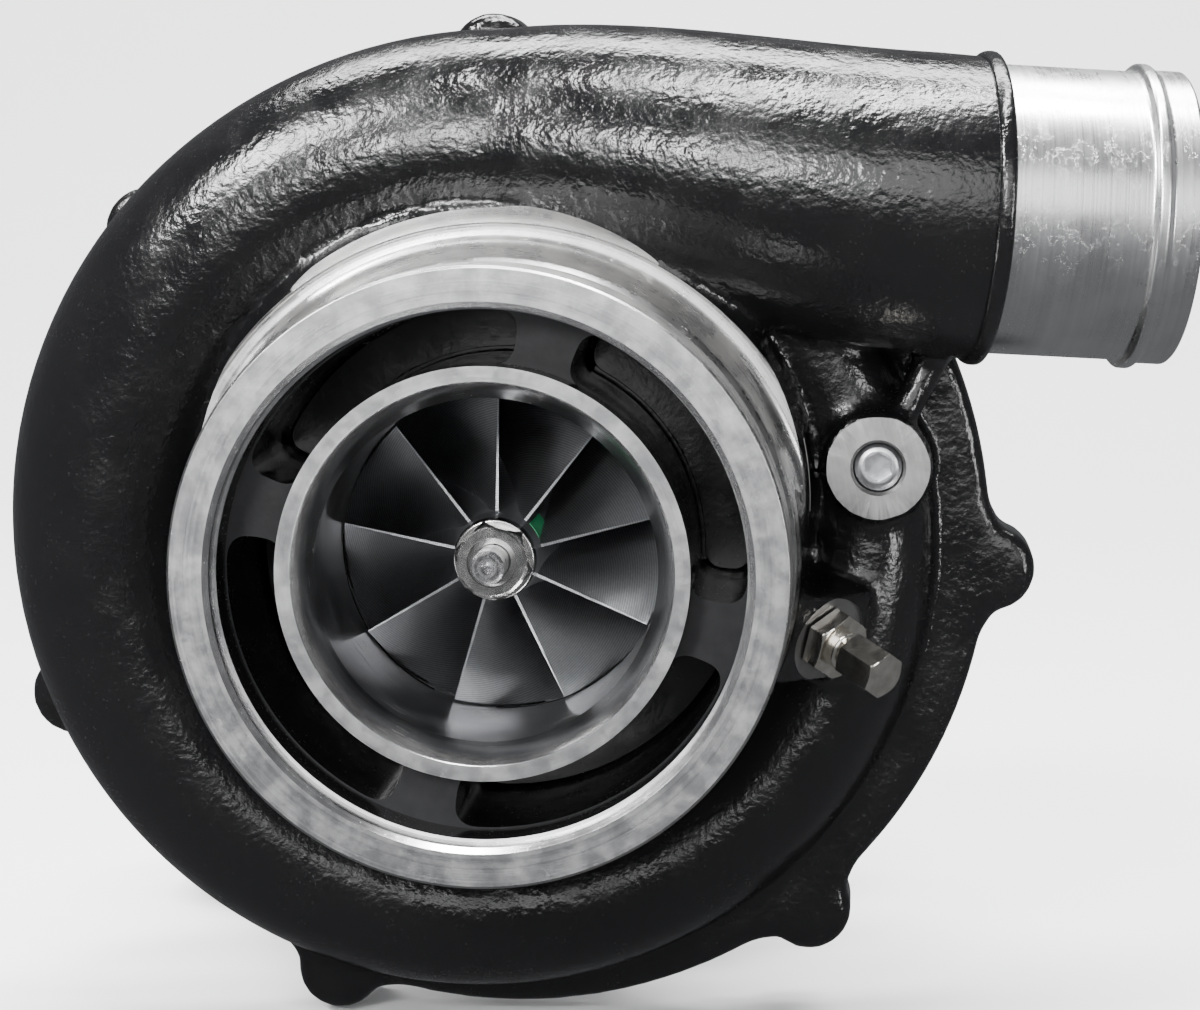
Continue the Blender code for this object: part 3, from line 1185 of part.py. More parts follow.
def make_heat_shield(axis, steel):
    """Dished ring clamped between the centre and turbine housings, behind the turbine wheel."""
    thick = SHIELD_THICKNESS
    rim = HOUSING_END_Y + SHIELD_SEAT_DEPTH
    rim_r = SHIELD_SEAT_R - SHIELD_FREE
    dish_r = SHIELD_STEP_R - GAP * 2.0
    dish = TURBINE_INDUCER_Y - TURBINE_DISC - SHIELD_DISC_CLEARANCE
    outline = [
        (SHIELD_BORE_R, dish - thick), (dish_r - thick * 2.0, dish - thick), (dish_r - thick, rim - thick),
        (rim_r, rim - thick), (rim_r, rim), (dish_r, rim), (dish_r, dish), (SHIELD_BORE_R, dish),
    ]
    place("heat_shield", turned(outline, HOUSING_STEPS), axis, steel)


# V-band clamp -----------------------------------------------------------------------


def band_outline():
    """Section of the clamp: a channel that holds the two housings' flanges."""
    low = HOUSING_END_Y - BAND_FLANGE_LENGTH
    high = HOUSING_END_Y + GAP + BAND_FLANGE_LENGTH
    inside = BAND_FLANGE_R + BAND_CLEARANCE
    outside = inside + BAND_THICKNESS
    lip_r = inside - BAND_LIP
    lip_low, lip_high = low - BAND_CLEARANCE, high + BAND_CLEARANCE
    return [
        (inside, low + BAND_FLANGE_SLOPE), (inside, high - BAND_FLANGE_SLOPE), (lip_r, lip_high),
        (lip_r, lip_high + BAND_THICKNESS), (outside, lip_high + BAND_EDGE),
        (outside, lip_low - BAND_EDGE), (lip_r, lip_low - BAND_THICKNESS), (lip_r, lip_low),
    ]


def make_v_band(axis, steel):
    """A split clamp with two ears at the upper right, drawn together by a bolt and nut."""
    half_split = BAND_SPLIT / 2.0
    channel = turned(band_outline(), 30, BAND_ANGLE + half_split, 360.0 - BAND_SPLIT)
    band = place("v_band_clamp", channel, axis, steel)
    middle = HOUSING_END_Y + GAP / 2.0
    foot = BAND_FLANGE_R + BAND_EAR_FOOT
    for index, side in enumerate((-1.0, 1.0)):
        turn = Matrix.Rotation(-math.radians(BAND_ANGLE + side * half_split), 4, "Y")
        near, far = sorted((side * GAP, side * BAND_EAR_THICKNESS))
        low = (foot, middle - BAND_EAR_HALF_WIDTH, near)
        high = (foot + BAND_EAR_LENGTH, middle + BAND_EAR_HALF_WIDTH, far)
        join(band, f"band_ear_{index + 1}", box(low, high, turn))
    across = polar(1.0, BAND_ANGLE + 90.0)
    centre = polar(BAND_FLANGE_R + BAND_BOLT_OUT, BAND_ANGLE, middle)
    ends = (centre - across * BAND_BOLT_REACH, centre + across * BAND_BOLT_REACH)
    cut(band, "cut_band_ears", rod(*ends, BAND_BOLT_R + GAP, 12))
    face = band_ear_face()
    head = rod(centre - across * (face + BAND_HEAD), centre - across * face, BAND_HEAD_R, 6)
    bolt = place("v_band_bolt", head, axis, steel)
    ends = (centre - across * (face + OVERLAP), centre + across * (face + BAND_BOLT_PAST))
    join(bolt, "band_shank", rod(*ends, BAND_BOLT_R, HOLE_SIDES))
    nut = rod(centre + across * face, centre + across * (face + BAND_NUT), BAND_NUT_R, 6)
    nut = place("v_band_nut", nut, axis, steel)
    cut(nut, "cut_band_nut", rod(centre, centre + across * (face * 3.0), BAND_BOLT_R + GAP, 12))


def band_ear_face():
    """Distance from the middle of the split to where a bolt's head clears an ear."""
    half = math.radians(BAND_SPLIT / 2.0)
    farthest = BAND_FLANGE_R + BAND_EAR_FOOT + BAND_EAR_LENGTH
    return farthest * math.sin(half) + BAND_EAR_THICKNESS * math.cos(half) + BAND_CLEARANCE


def main():
    clear_scene()
    black = paint("black_powder_coat", (0.008, 0.008, 0.009), 0.22, 0.0)
    aluminium = paint("machined_aluminium", (0.78, 0.78, 0.79), 0.30, 1.0)
    steel = paint("zinc_steel", (0.58, 0.58, 0.59), 0.32, 1.0)
    nickel = paint("nickel_plate", (0.66, 0.62, 0.56), 0.24, 1.0)
    bearing_steel = paint("ground_steel", (0.62, 0.62, 0.63), 0.22, 1.0)
    iron = paint("cast_iron", (0.17, 0.16, 0.15), 0.62, 0.85)
    nickel_alloy = paint("nickel_alloy", (0.46, 0.43, 0.40), 0.42, 1.0)
    rubber = paint("black_rubber", (0.02, 0.02, 0.02), 0.70, 0.0)
    gasket_grey = paint("gasket_paper", (0.23, 0.24, 0.25), 0.80, 0.0)
    axis = empty("rotor_axis", (TURBINE_SCROLL_X, -TURBINE_Y, TURBINE_FACE_Z))
    front_axis = empty("front_ball_axis", (0.0, ball_y("front"), 0.0), axis)
    rear_axis = empty("rear_ball_axis", (0.0, ball_y("rear"), 0.0), axis)
    make_compressor_cover(axis, black)
    make_speed_plug(axis, steel)
    make_boost_fitting(axis, nickel)
    make_clamps(axis, steel)
    make_cover_bolts(axis, steel)
    make_compressor_wheel(axis, aluminium)
    make_turbine_wheel(axis, nickel_alloy)
    make_shaft(axis, bearing_steel)
    make_nut(axis, bearing_steel)
    make_thrust_spacer(axis, bearing_steel)
    make_seal_rings(axis, iron)
    make_cartridge(axis, front_axis, rear_axis, bearing_steel)
    make_races(axis, bearing_steel)
    make_seal_plate(axis, aluminium)
    make_plate_screws(axis, steel)
    make_o_rings(axis, rubber)
    make_center_housing(axis, iron)
    make_retainer(axis, steel)
    make_oil_inlet(axis, steel)
    make_oil_drain(axis, steel, gasket_grey)
    make_coolant_fittings(axis, steel)
    make_turbine_housing(axis, iron)
    make_heat_shield(axis, steel)
    make_v_band(axis, steel)


main()
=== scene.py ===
"""Looks of a turbocharger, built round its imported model.

Every piece is modelled in millimetres on the rotor's axis: x to the right, y from the
compressor's inlet face towards the turbine, z up. `piece` turns it into metres and puts
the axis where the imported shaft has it.
"""

from math import cos, degrees, hypot, pi, radians, sin

import bmesh
import bpy
from mathutils import Matrix, Vector


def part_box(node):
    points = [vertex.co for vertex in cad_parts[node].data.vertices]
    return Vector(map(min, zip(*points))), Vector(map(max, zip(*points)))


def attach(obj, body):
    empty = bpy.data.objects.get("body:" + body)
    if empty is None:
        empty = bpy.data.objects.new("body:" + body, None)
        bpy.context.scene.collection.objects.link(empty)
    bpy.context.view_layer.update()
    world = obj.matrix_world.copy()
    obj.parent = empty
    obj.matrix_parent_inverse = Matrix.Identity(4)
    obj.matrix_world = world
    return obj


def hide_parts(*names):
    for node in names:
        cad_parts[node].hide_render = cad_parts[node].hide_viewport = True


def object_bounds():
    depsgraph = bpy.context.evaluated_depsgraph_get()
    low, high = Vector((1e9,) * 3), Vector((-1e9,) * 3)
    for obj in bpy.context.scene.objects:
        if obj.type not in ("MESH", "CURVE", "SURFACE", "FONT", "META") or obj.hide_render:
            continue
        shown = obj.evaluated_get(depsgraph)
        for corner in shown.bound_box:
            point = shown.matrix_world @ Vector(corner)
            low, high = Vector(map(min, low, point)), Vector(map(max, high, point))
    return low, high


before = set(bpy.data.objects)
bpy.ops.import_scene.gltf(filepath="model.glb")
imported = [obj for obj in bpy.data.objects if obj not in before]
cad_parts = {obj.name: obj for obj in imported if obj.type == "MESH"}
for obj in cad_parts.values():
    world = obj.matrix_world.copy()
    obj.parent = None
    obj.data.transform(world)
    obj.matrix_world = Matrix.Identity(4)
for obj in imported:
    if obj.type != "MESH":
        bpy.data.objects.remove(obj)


def plain_box():
    return [list(corner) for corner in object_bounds()]


CAD_BOX = plain_box()
SHAFT_LOW, SHAFT_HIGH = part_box("rotor_shaft")
AXIS = Vector((
    0.5 * (SHAFT_LOW.x + SHAFT_HIGH.x),
    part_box("compressor_cover")[0].y,
    0.5 * (SHAFT_LOW.z + SHAFT_HIGH.z),
))
MM = 0.001
TURN = 2 * pi

# Camera, on the rotor's axis in millimetres
CAMERA_AT = Vector((64.06, -591.98, 77.58))
CAMERA_YAW = 4.2365
CAMERA_PITCH = 6.2494
CAMERA_LENS = 109.84
CAMERA_SENSOR = 36

# Compressor inlet
COLLAR_R = 51.6
FACE_INNER_R = 45.7
BOWL_R = 44.2
PAINT_LINE_Y = 5.2
SHROUD_FACE_Y = 6.6
SHROUD_OUTER_R = 34.7
SHROUD_INNER_R = 31.9
BORE_R = 29
BORE_CONE_END_Y = 12.6
WEB_Y = 14
WEB_WIDTH = 9
WEB_ANGLES = (75, 165, 255, 345)
PORT_FLOOR_Y = 50
BORE_SLOT_Y = (47.4, 49.6)
RELIEF_ENDS = (61, 127.5)

# Compressor scroll, clockwise as seen from the inlet, and its outlet
COVER_LENGTH = 75.5
SCROLL_START = 22
SCROLL_SWEEP = 292
SCROLL_OUTER = (75.5, 90.8)
SCROLL_SECTION = (10.8, 21.2)
SCROLL_BACK_Y = 71.5
SCROLL_SWELL = (1.28, -0.09)
OUTLET_FOOT = Vector((83.2, 47.1, 59.6))
OUTLET_BODY_R = 26.2
OUTLET_PIPE_R = 25.4
OUTLET_BORE_R = 22.8
OUTLET_LENGTH = 33
OUTLET_BEAD_FROM_END = 7.1
OUTLET_DROP = 3.2
OUTLET_LEAN = 9
TONGUE_END = 44

# Flange and lugs
FLANGE_Y = 60
FLANGE_R = 85.6
LUG_R = 90.4
LUG_HALF_ANGLE = 9
LUG_NOSE_R = 7.6
LUG_NOSE_AT = 86.2
LUG_PAIRS = ((92.3, 140.3), (200, 248), (308.5, 356.6))
LUG_ANGLES = [angle for pair in LUG_PAIRS for angle in pair]
BOLT_CIRCLE_R = 86.8
REGISTER_R = 78
CLAMP_Y = (75.8, 79)
CLAMP_R = (71.5, 84.6)

# Fittings on the cover
SPEED_BOSS = Vector((65.5, 45, 14.5))
SPEED_BOSS_R = 9.6
FITTING_SEAT = Vector((57, 41.5, -15.3))
FITTING_AIM = Vector((0.66, -0.68, -0.32)).normalized()

# Compressor wheel
BLADES = 9
FIRST_BLADE = 12
INDUCER_TIP = (28.5, 44.8)
INDUCER_HUB_Y = 34.7
EXDUCER_R = 38
EXDUCER_HEIGHT = 3.7
HUB_R = 7.5
WHEEL_RIM_Y = 70.5
EXDUCER_TIP = (EXDUCER_R, WHEEL_RIM_Y - EXDUCER_HEIGHT)
WHEEL_NOSE_Y = 29.5
WHEEL_END_Y = 76

# Shaft nut and tip
NUT_Y = 23
SHAFT_TIP_Y = 15.4
SHAFT_TIP_R = 2.9

# Centre housing
HOUSING_Y = 82.3
HOUSING_END_Y = 138
OIL_Y = 108
OIL_TOP_Z = 38
DRAIN_Z = -44
COOLANT_X = 40

# Turbine
TURBINE_Y = 166
TURBINE_X = -53
TURBINE_FACE_Z = -72
TURBINE_INLET_R = 20.5
TURBINE_SWEEP = 280
TURBINE_OUTLET_Y = 212
TURBINE_HUB_R = (9, 34)
TURBINE_TIP_R = (29.5, 34)
TURBINE_TIP_Y = (157, 178)
TURBINE_HUB_END_Y = 181
V_BAND_Y = (131.7, 144.6)


link = bpy.context.scene.collection.objects.link


# Mesh helpers


def mix(a, b, share):
    return a + (b - a) * share


def polar(radius, turn, y=0):
    angle = radians(turn)
    return Vector((radius * cos(angle), y, radius * sin(angle)))


def aimed(axis, point):
    """A matrix that turns +Y to the axis and moves the origin to the point."""
    turn = Vector(axis).normalized().to_track_quat("Y", "Z").to_matrix().to_4x4()
    return Matrix.Translation(Vector(point)) @ turn


def eased(outline, ease=0.25, steps=4):
    """Rounds the corners of a closed outline of (radius, y) or (radius, y, ease) points."""
    points = []
    for index, corner in enumerate(outline):
        here = Vector(corner[:2])
        size = corner[2] if len(corner) > 2 else ease
        if size <= 0 or here.x <= 0:
            points.append(here)
            continue
        arms = []
        for other in (outline[index - 1], outline[(index + 1) % len(outline)]):
            arm = Vector(other[:2]) - here
            arms.append(here + arm.normalized() * min(size, 0.45 * arm.length))
        for i in range(steps + 1):
            t = i / steps
            points.append(arms[0] * (1 - t) ** 2 + here * 2 * t * (1 - t) + arms[1] * t ** 2)
    return points


def skin(rows, closed_rows=False, caps=True, bm=None):
    """Quads over rows of points. Each row is a ring."""
    bm = bm or bmesh.new()
    rings = [[bm.verts.new(point) for point in row] for row in rows]
    count = len(rings[0])
    pairs = list(zip(rings, rings[1:]))
    if closed_rows:
        pairs.append((rings[-1], rings[0]))
    for near, far in pairs:
        for i in range(count):
            after = (i + 1) % count
            bm.faces.new((near[i], far[i], far[after], near[after]))
    if caps and not closed_rows:
        for ring in (rings[0], rings[-1][::-1]):
            middle = bm.verts.new(sum((vert.co for vert in ring), Vector()) / count)
            for i in range(count):
                bm.faces.new((middle, ring[i], ring[(i + 1) % count]))
    return bm


def lathe(outline, segments=144, first=0, sweep=360, bm=None):
    """A closed outline turned about the rotor's axis, all the way or part of it."""
    whole = sweep >= 360
    count = segments if whole else segments + 1
    angles = [first + sweep * i / segments for i in range(count)]
    rows = [[polar(point[0], angle, point[1]) for point in outline] for angle in angles]
    return skin(rows, closed_rows=whole, caps=not whole, bm=bm)


def turned_on(matrix, bm):
    bm.transform(matrix)
    return bm


def ring_round(centre, ahead, radius, count=48, flat=Vector((0, 1, 0))):
    ahead = ahead.normalized()
    side = (flat - ahead * flat.dot(ahead)).normalized()
    other = ahead.cross(side)
    angles = [TURN * i / count for i in range(count)]
    return [centre + side * radius * cos(a) + other * radius * sin(a) for a in angles]


def shaped(stations, radius_at, segments=96, bm=None):
    """A solid along +Y whose radius depends on the station and on the angle."""
    angles = [360 * i / segments for i in range(segments)]
    rows = [[polar(radius_at(station, a), a, station[0]) for a in angles] for station in stations]
    return skin(rows, bm=bm)


def hexagon(station, angle):
    """Radius of a hexagon whose corners are turned down to the station's round limit."""
    flat, limit = station[1], station[2]
    off_flat = radians((angle + 30) % 60 - 30)
    return min(flat / cos(off_flat), limit)


def hex_solid(low, high, flat, chamfer_low=False, chamfer_high=True, bm=None):
    corner = flat / cos(radians(30))
    depth, near = (corner - flat) * 0.62, flat * 0.985
    stations = []
    if chamfer_low:
        stations += [(mix(low, low + depth, i / 4), flat, mix(near, corner, i / 4)) for i in range(5)]
    else:
        stations.append((low, flat, corner))
    if chamfer_high:
        stations += [(mix(high - depth, high, i / 4), flat, mix(corner, near, i / 4)) for i in range(5)]
    else:
        stations.append((high, flat, corner))
    return shaped(stations, hexagon, bm=bm)


def threaded(low, high, radius, pitch, depth, segments=48, bm=None):
    """A rod with a real helical thread."""
    rows = max(8, round((high - low) / pitch * 6))
    stations = [(mix(low, high, i / rows),) for i in range(rows + 1)]

    def radius_at(station, angle):
        phase = (station[0] / pitch + angle / 360) % 1
        fade = min(1, (station[0] - low) / pitch, (high - station[0]) / pitch)
        return radius - depth * abs(2 * phase - 1) - depth * (1 - max(fade, 0))

    return shaped(stations, radius_at, segments, bm)


def solid(name, bm, finish=None):
    bmesh.ops.remove_doubles(bm, verts=bm.verts, dist=1e-5)
    bmesh.ops.delete(bm, geom=[edge for edge in bm.edges if not edge.link_faces], context="EDGES")
    bmesh.ops.recalc_face_normals(bm, faces=bm.faces)
    mesh = bpy.data.meshes.new(name)
    bm.to_mesh(mesh)
    bm.free()
    if finish:
        mesh.materials.append(finish)
    obj = bpy.data.objects.new(name, mesh)
    link(obj)
    return obj


def settle(obj):
    """Turns an object's modifiers into its mesh."""
    graph = bpy.context.evaluated_depsgraph_get()
    shape = obj.evaluated_get(graph)
    mesh = bpy.data.meshes.new_from_object(shape, preserve_all_data_layers=True, depsgraph=graph)
    obj.modifiers.clear()
    obj.data = mesh


def melt(obj, voxel, rounds):
    """Fuses overlapping shapes into one casting with soft fillets."""
    remesh = obj.modifiers.new("fuse", "REMESH")
    remesh.mode = "VOXEL"
    remesh.voxel_size = voxel
    soften = obj.modifiers.new("soften", "SMOOTH")
    soften.factor = 0.5
    soften.iterations = rounds
    settle(obj)


def round_edges(obj, width):
    soften = obj.modifiers.new("edge", "BEVEL")
    soften.width = width
    soften.segments = 3
    soften.limit_method = "ANGLE"
    settle(obj)


def carve(obj, bm, finish=None, operation="DIFFERENCE"):
    """Cuts a shape away. The cut faces take the cutter's finish."""
    tool = solid("tool", bm, finish or obj.data.materials[0])
    cut = obj.modifiers.new("carve", "BOOLEAN")
    cut.solver = "EXACT"
    cut.operation = operation
    cut.material_mode = "TRANSFER"
    cut.object = tool
    settle(obj)
    bpy.data.objects.remove(tool, do_unlink=True)


def piece(obj, body="housing", stands_for=(), at=Matrix(), sharp=32):
    """Finishes a piece: metres, in place, smooth, and riding on its body."""
    obj.data.transform(Matrix.Diagonal((MM, MM, MM, 1)))
    spot = at.copy()
    spot.translation = AXIS + at.translation * MM
    obj.matrix_world = spot
    obj.data.shade_smooth()
    obj.data.set_sharp_from_angle(angle=radians(sharp))
    obj.modifiers.new("face_normals", "WEIGHTED_NORMAL").keep_sharp = True
    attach(obj, body)
    if stands_for:
        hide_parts(*stands_for)


# Finishes


class Wire:
    """A number socket that can be written into sums."""

    def __init__(self, finish, socket):
        self.finish = finish
        self.socket = socket

    def sum(self, operation, other, swapped=False):
        values = (other, self) if swapped else (self, other)
        return self.finish.maths(operation, *values)

    def __add__(self, other):
        return self.sum("ADD", other)

    def __radd__(self, other):
        return self.sum("ADD", other, True)

    def __sub__(self, other):
        return self.sum("SUBTRACT", other)

    def __rsub__(self, other):
        return self.sum("SUBTRACT", other, True)

    def __mul__(self, other):
        return self.sum("MULTIPLY", other)

    def __rmul__(self, other):
        return self.sum("MULTIPLY", other, True)

    def __pow__(self, other):
        return self.sum("POWER", other)

    def clamped(self):
        return self.finish.maths("MAXIMUM", self.finish.maths("MINIMUM", self, 1), 0)


class Finish:
    """One procedural finish. Lengths in its textures are millimetres on the piece."""

    def __init__(self, name, **uniform):
        self.material = bpy.data.materials.new(name)
        self.material.use_nodes = True
        self.tree = self.material.node_tree
        self.tree.nodes.clear()
        sockets = {socket.replace("_", " "): value for socket, value in uniform.items()}
        surface = self.node("ShaderNodeBsdfPrincipled", {}, sockets)
        self.shader = surface.node
        self.node("ShaderNodeOutputMaterial", {}, {"Surface": surface}, None)
        place = self.node("ShaderNodeTexCoord", output="Object")
        self.place = self.node(
            "ShaderNodeVectorMath", {"operation": "SCALE"}, {"Vector": place, "Scale": 1 / MM}
        )

    def node(self, kind, settings=None, sockets=None, output=0):
        node = self.tree.nodes.new(kind)
        for name, value in (settings or {}).items():
            setattr(node, name, value)
        for name, value in (sockets or {}).items():
            self.feed(node.inputs[name], value)
        return node if output is None else node.outputs[output]

    def feed(self, socket, value):
        if isinstance(value, Wire):
            value = value.socket
        elif isinstance(value, tuple):
            value = (*value, 1)
        if isinstance(value, bpy.types.NodeSocket):
            self.tree.links.new(value, socket)
        else:
            socket.default_value = value

    def maths(self, operation, *values):
        sockets = dict(enumerate(values))
        return Wire(self, self.node("ShaderNodeMath", {"operation": operation}, sockets))

    def noise(self, size, detail=2, at=None, rough=0.5):
        """Soft noise from 0 to 1 whose blotches are about so many millimetres across."""
        sockets = {"Vector": at or self.place, "Scale": 1 / size, "Detail": detail, "Roughness": rough}
        return Wire(self, self.node("ShaderNodeTexNoise", {}, sockets))

    def spots(self, size, at=None):
        sockets = {"Vector": at or self.place, "Scale": 1 / size}
        return Wire(self, self.node("ShaderNodeTexVoronoi", {}, sockets, "Distance"))

    def band(self, value, low, high):
        """0 below the low value and 1 above the high one."""
        settings = {"interpolation_type": "SMOOTHSTEP"}
        sockets = {"Value": value, "From Min": low, "From Max": high}
        return Wire(self, self.node("ShaderNodeMapRange", settings, sockets))

    def blend(self, share, first, second):
        """A colour between two colours."""
        return self.node("ShaderNodeMix", {"data_type": "RGBA"}, {0: share, 6: first, 7: second}, 2)

    def lathe_place(self):
        """The place on a turned piece as (radius, along the axis, angle)."""
        split = self.node("ShaderNodeSeparateXYZ", {}, {"Vector": self.place}, None)
        x, y, z = (Wire(self, socket) for socket in split.outputs)
        return (x * x + z * z) ** 0.5, y, self.maths("ARCTAN2", z, x)

    def vector(self, x, y, z):
        return self.node("ShaderNodeCombineXYZ", {}, {"X": x, "Y": y, "Z": z})

    def worn_edge(self, width, low=0, high=0.35):
        """1 on outside edges, from the difference between the bevelled and the true normal."""
        bevel = self.node("ShaderNodeBevel", {"samples": 4}, {"Radius": width * MM})
        normal = self.node("ShaderNodeNewGeometry", output="Normal")
        product = {"operation": "DOT_PRODUCT"}
        facing = self.node("ShaderNodeVectorMath", product, {0: bevel, 1: normal}, "Value")
        return self.band(1 - Wire(self, facing), low, high)

    def finish(self, colour, roughness, height, depth=0.1, metallic=None, strength=0.6):
        """Joins the varying values. Height is 0 to 1 over a depth in millimetres."""
        self.feed(self.shader.inputs["Base Color"], colour)
        self.feed(self.shader.inputs["Roughness"], roughness)
        if metallic is not None:
            self.feed(self.shader.inputs["Metallic"], metallic)
        bump = {"Height": height, "Distance": depth * MM, "Strength": strength}
        self.feed(self.shader.inputs["Normal"], self.node("ShaderNodeBump", {}, bump))
        return self.material


def scaled(colour, share):
    return tuple(min(1, share * part) for part in colour)


def gloss_black(name, depth):
    """Gloss black powder coat over a sand casting, with its orange peel."""
    coat = Finish(name, Specular_IOR_Level=0.5)
    peel = coat.noise(1.15, 3)
    sand = coat.noise(3.6, 2)
    dust = coat.band(coat.noise(0.55, 2), 0.62, 0.78)
    colour = coat.blend(dust * 0.4, (0.0035, 0.0035, 0.0038), (0.02, 0.02, 0.021))
    roughness = 0.14 + 0.12 * coat.band(coat.noise(9, 4), 0.35, 0.7) + 0.12 * dust
    return coat.finish(colour, roughness, peel * 0.75 + sand * 0.9, depth, strength=1)


def web_grey():
    """Thin, duller coat on the flats between the shroud ports."""
    coat = Finish("web_flat_grey", Specular_IOR_Level=0.25)
    grain = coat.noise(0.8, 4)
    colour = coat.blend(coat.noise(2.2, 4), (0.006, 0.0062, 0.007), (0.016, 0.0165, 0.018))
    return coat.finish(colour, 0.36 + 0.25 * grain, grain, 0.04)


def turned(name, bright, dark, roughness, pitch=0.32, groove=0.010, mottle=5, stained=0.55):
    """Bright metal with the fine rings a lathe tool leaves."""
    metal = Finish(name, Metallic=1)
    radius, along, angle = metal.lathe_place()
    drift = metal.noise(16, 1) * 0.25
    rings = metal.noise(pitch, 2, metal.vector(radius + drift, along + drift, angle * 0.06))
    wide = metal.noise(pitch * 5, 2, metal.vector(radius, along, angle * 0.4))
    stain = metal.band(metal.noise(mottle, 5, rough=0.62), 0.32, 0.72)
    specks = metal.band(metal.spots(1.3), 0.085, 0.02)
    hair = metal.noise(9, 6, rough=0.7)
    scratch = metal.band(metal.maths("ABSOLUTE", hair - 0.5), 0.0035, 0)
    tone = (stained * stain + (0.8 - stained) * wide + 0.3 * rings - 0.25 * specks).clamped()
    colour = metal.blend(tone, dark, bright)
    rough = roughness + 0.12 * rings + 0.08 * stain + 0.15 * specks
    return metal.finish(colour, rough, rings + 0.4 * wide - 0.6 * specks - 0.5 * scratch, groove)


def milled_wheel():
    """Billet aluminium with the stepped passes of a ball cutter."""
    metal = Finish("milled_billet_aluminium", Metallic=1)
    radius, along, angle = metal.lathe_place()
    wobble = metal.noise(7, 1) * 0.5
    passes = metal.maths("PINGPONG", radius + along * 0.35 + wobble, 0.24) * (1 / 0.24)
    grain = metal.noise(0.4, 2, metal.vector(radius, along, angle * 0.5))
    tone = (0.6 * passes + 0.45 * grain).clamped()
    colour = metal.blend(tone, (0.36, 0.37, 0.39), (0.78, 0.79, 0.81))
    return metal.finish(colour, 0.3 + 0.1 * grain, passes + 0.3 * grain, 0.03)


def bright_steel(name, bright, dark, roughness, grain_size=0.5, depth=0.012, tarnish=3):
    """Plated or ground steel: bright, with a fine grain and faint tarnish."""
    metal = Finish(name, Metallic=1)
    grain = metal.noise(grain_size, 3)
    cloud = metal.band(metal.noise(tarnish, 4, rough=0.6), 0.3, 0.72)
    edge = metal.worn_edge(0.35)
    colour = metal.blend((cloud * 0.8 + grain * 0.3).clamped(), dark, bright)
    colour = metal.blend(edge * 0.6, colour, scaled(bright, 1.15))
    return metal.finish(colour, roughness + 0.12 * grain - 0.06 * edge, grain, depth)


def cast_iron(name, base, rust, rust_share):
    """Sand-cast iron: rough skin, darker pits and a little dry rust."""
    metal = Finish(name, Metallic=0.75)
    skin_noise = metal.noise(1.1, 4, rough=0.6)
    lumps = metal.noise(5, 2)
    pits = metal.band(metal.spots(1.6), 0.16, 0.04)
    bloom = metal.band(metal.noise(12, 5, rough=0.65), 0.5, 0.75) * rust_share
    edge = metal.worn_edge(0.6)
    colour = metal.blend(skin_noise, scaled(base, 0.62), base)
    colour = metal.blend(bloom, colour, rust)
    colour = metal.blend(edge * 0.5, colour, scaled(base, 1.9))
    rough = 0.42 + 0.25 * skin_noise + 0.12 * bloom - 0.1 * edge
    return metal.finish(colour, rough, skin_noise + 1.2 * lumps - 0.5 * pits, 0.22)


def soft_black(name, colour, roughness):
    """Rubber or pressed gasket sheet."""
    sheet = Finish(name)
    grain = sheet.noise(0.35, 3)
    shade = sheet.blend(grain, scaled(colour, 0.7), scaled(colour, 1.4))
    return sheet.finish(shade, roughness + 0.2 * grain, grain, 0.02)


def paint_mark():
    """A dab of assembly marking paint."""
    dab = Finish("green_marking_paint", Coat_Weight=0.2, Coat_Roughness=0.2)
    streak = dab.noise(0.6, 3)
    colour = dab.blend(streak, (0.01, 0.15, 0.055), (0.03, 0.36, 0.15))
    return dab.finish(colour, 0.35 + 0.2 * streak, streak, 0.03)


def studio_paper():
    """Seamless white paper under the object."""
    paper = Finish("studio_paper")
    fibre = paper.noise(40, 4)
    return paper.finish(paper.blend(fibre, (0.86, 0.86, 0.865), (0.9, 0.9, 0.905)), 0.85, fibre, 0.05)


BLACK = gloss_black("gloss_black_powder_coat", 0.2)
BOWL_BLACK = gloss_black("smooth_bowl_black", 0.05)
WEB_GREY = web_grey()
MACHINED = turned("machined_inlet_face", (0.6, 0.6, 0.605), (0.29, 0.295, 0.305), 0.24, groove=0.014)
BORE = turned("polished_bore", (0.7, 0.7, 0.7), (0.42, 0.42, 0.43), 0.13, 0.4, 0.006, 9)
RELIEF = turned("machined_relief", (0.62, 0.615, 0.6), (0.3, 0.3, 0.31), 0.2, 0.5, 0.03, 6, 0.35)
PIPE = turned("turned_outlet_pipe", (0.86, 0.86, 0.86), (0.58, 0.585, 0.6), 0.2, 0.6, 0.03, 9, 0.12)
SPOT_FACE = turned("spot_faced_seat", (0.46, 0.455, 0.45), (0.27, 0.27, 0.27), 0.26, 0.3, 0.012, 6, 0.3)
BILLET = milled_wheel()
NUT_STEEL = bright_steel("polished_nut_steel", (0.7, 0.69, 0.675), (0.4, 0.4, 0.4), 0.12, 1.6, 0.004)
SHAFT_STEEL = turned("ground_shaft_steel", (0.7, 0.7, 0.7), (0.4, 0.4, 0.41), 0.2, 0.25, 0.01, 4)
NICKEL = bright_steel("warm_nickel_plate", (0.92, 0.89, 0.83), (0.66, 0.63, 0.57), 0.12, 1.4, 0.004)
ZINC = bright_steel("zinc_plated_steel", (0.66, 0.67, 0.69), (0.38, 0.385, 0.4), 0.26)
GROUND = bright_steel("ground_bearing_steel", (0.72, 0.72, 0.73), (0.5, 0.5, 0.51), 0.16)
IRON = cast_iron("grey_cast_iron", (0.23, 0.225, 0.22), (0.2, 0.1, 0.055), 0.25)
HOT_IRON = cast_iron("turbine_cast_iron", (0.2, 0.19, 0.18), (0.23, 0.11, 0.055), 0.5)
FLANGE_FACE = turned("machined_flange_face", (0.5, 0.49, 0.48), (0.26, 0.26, 0.26), 0.3, 0.6, 0.02, 8)
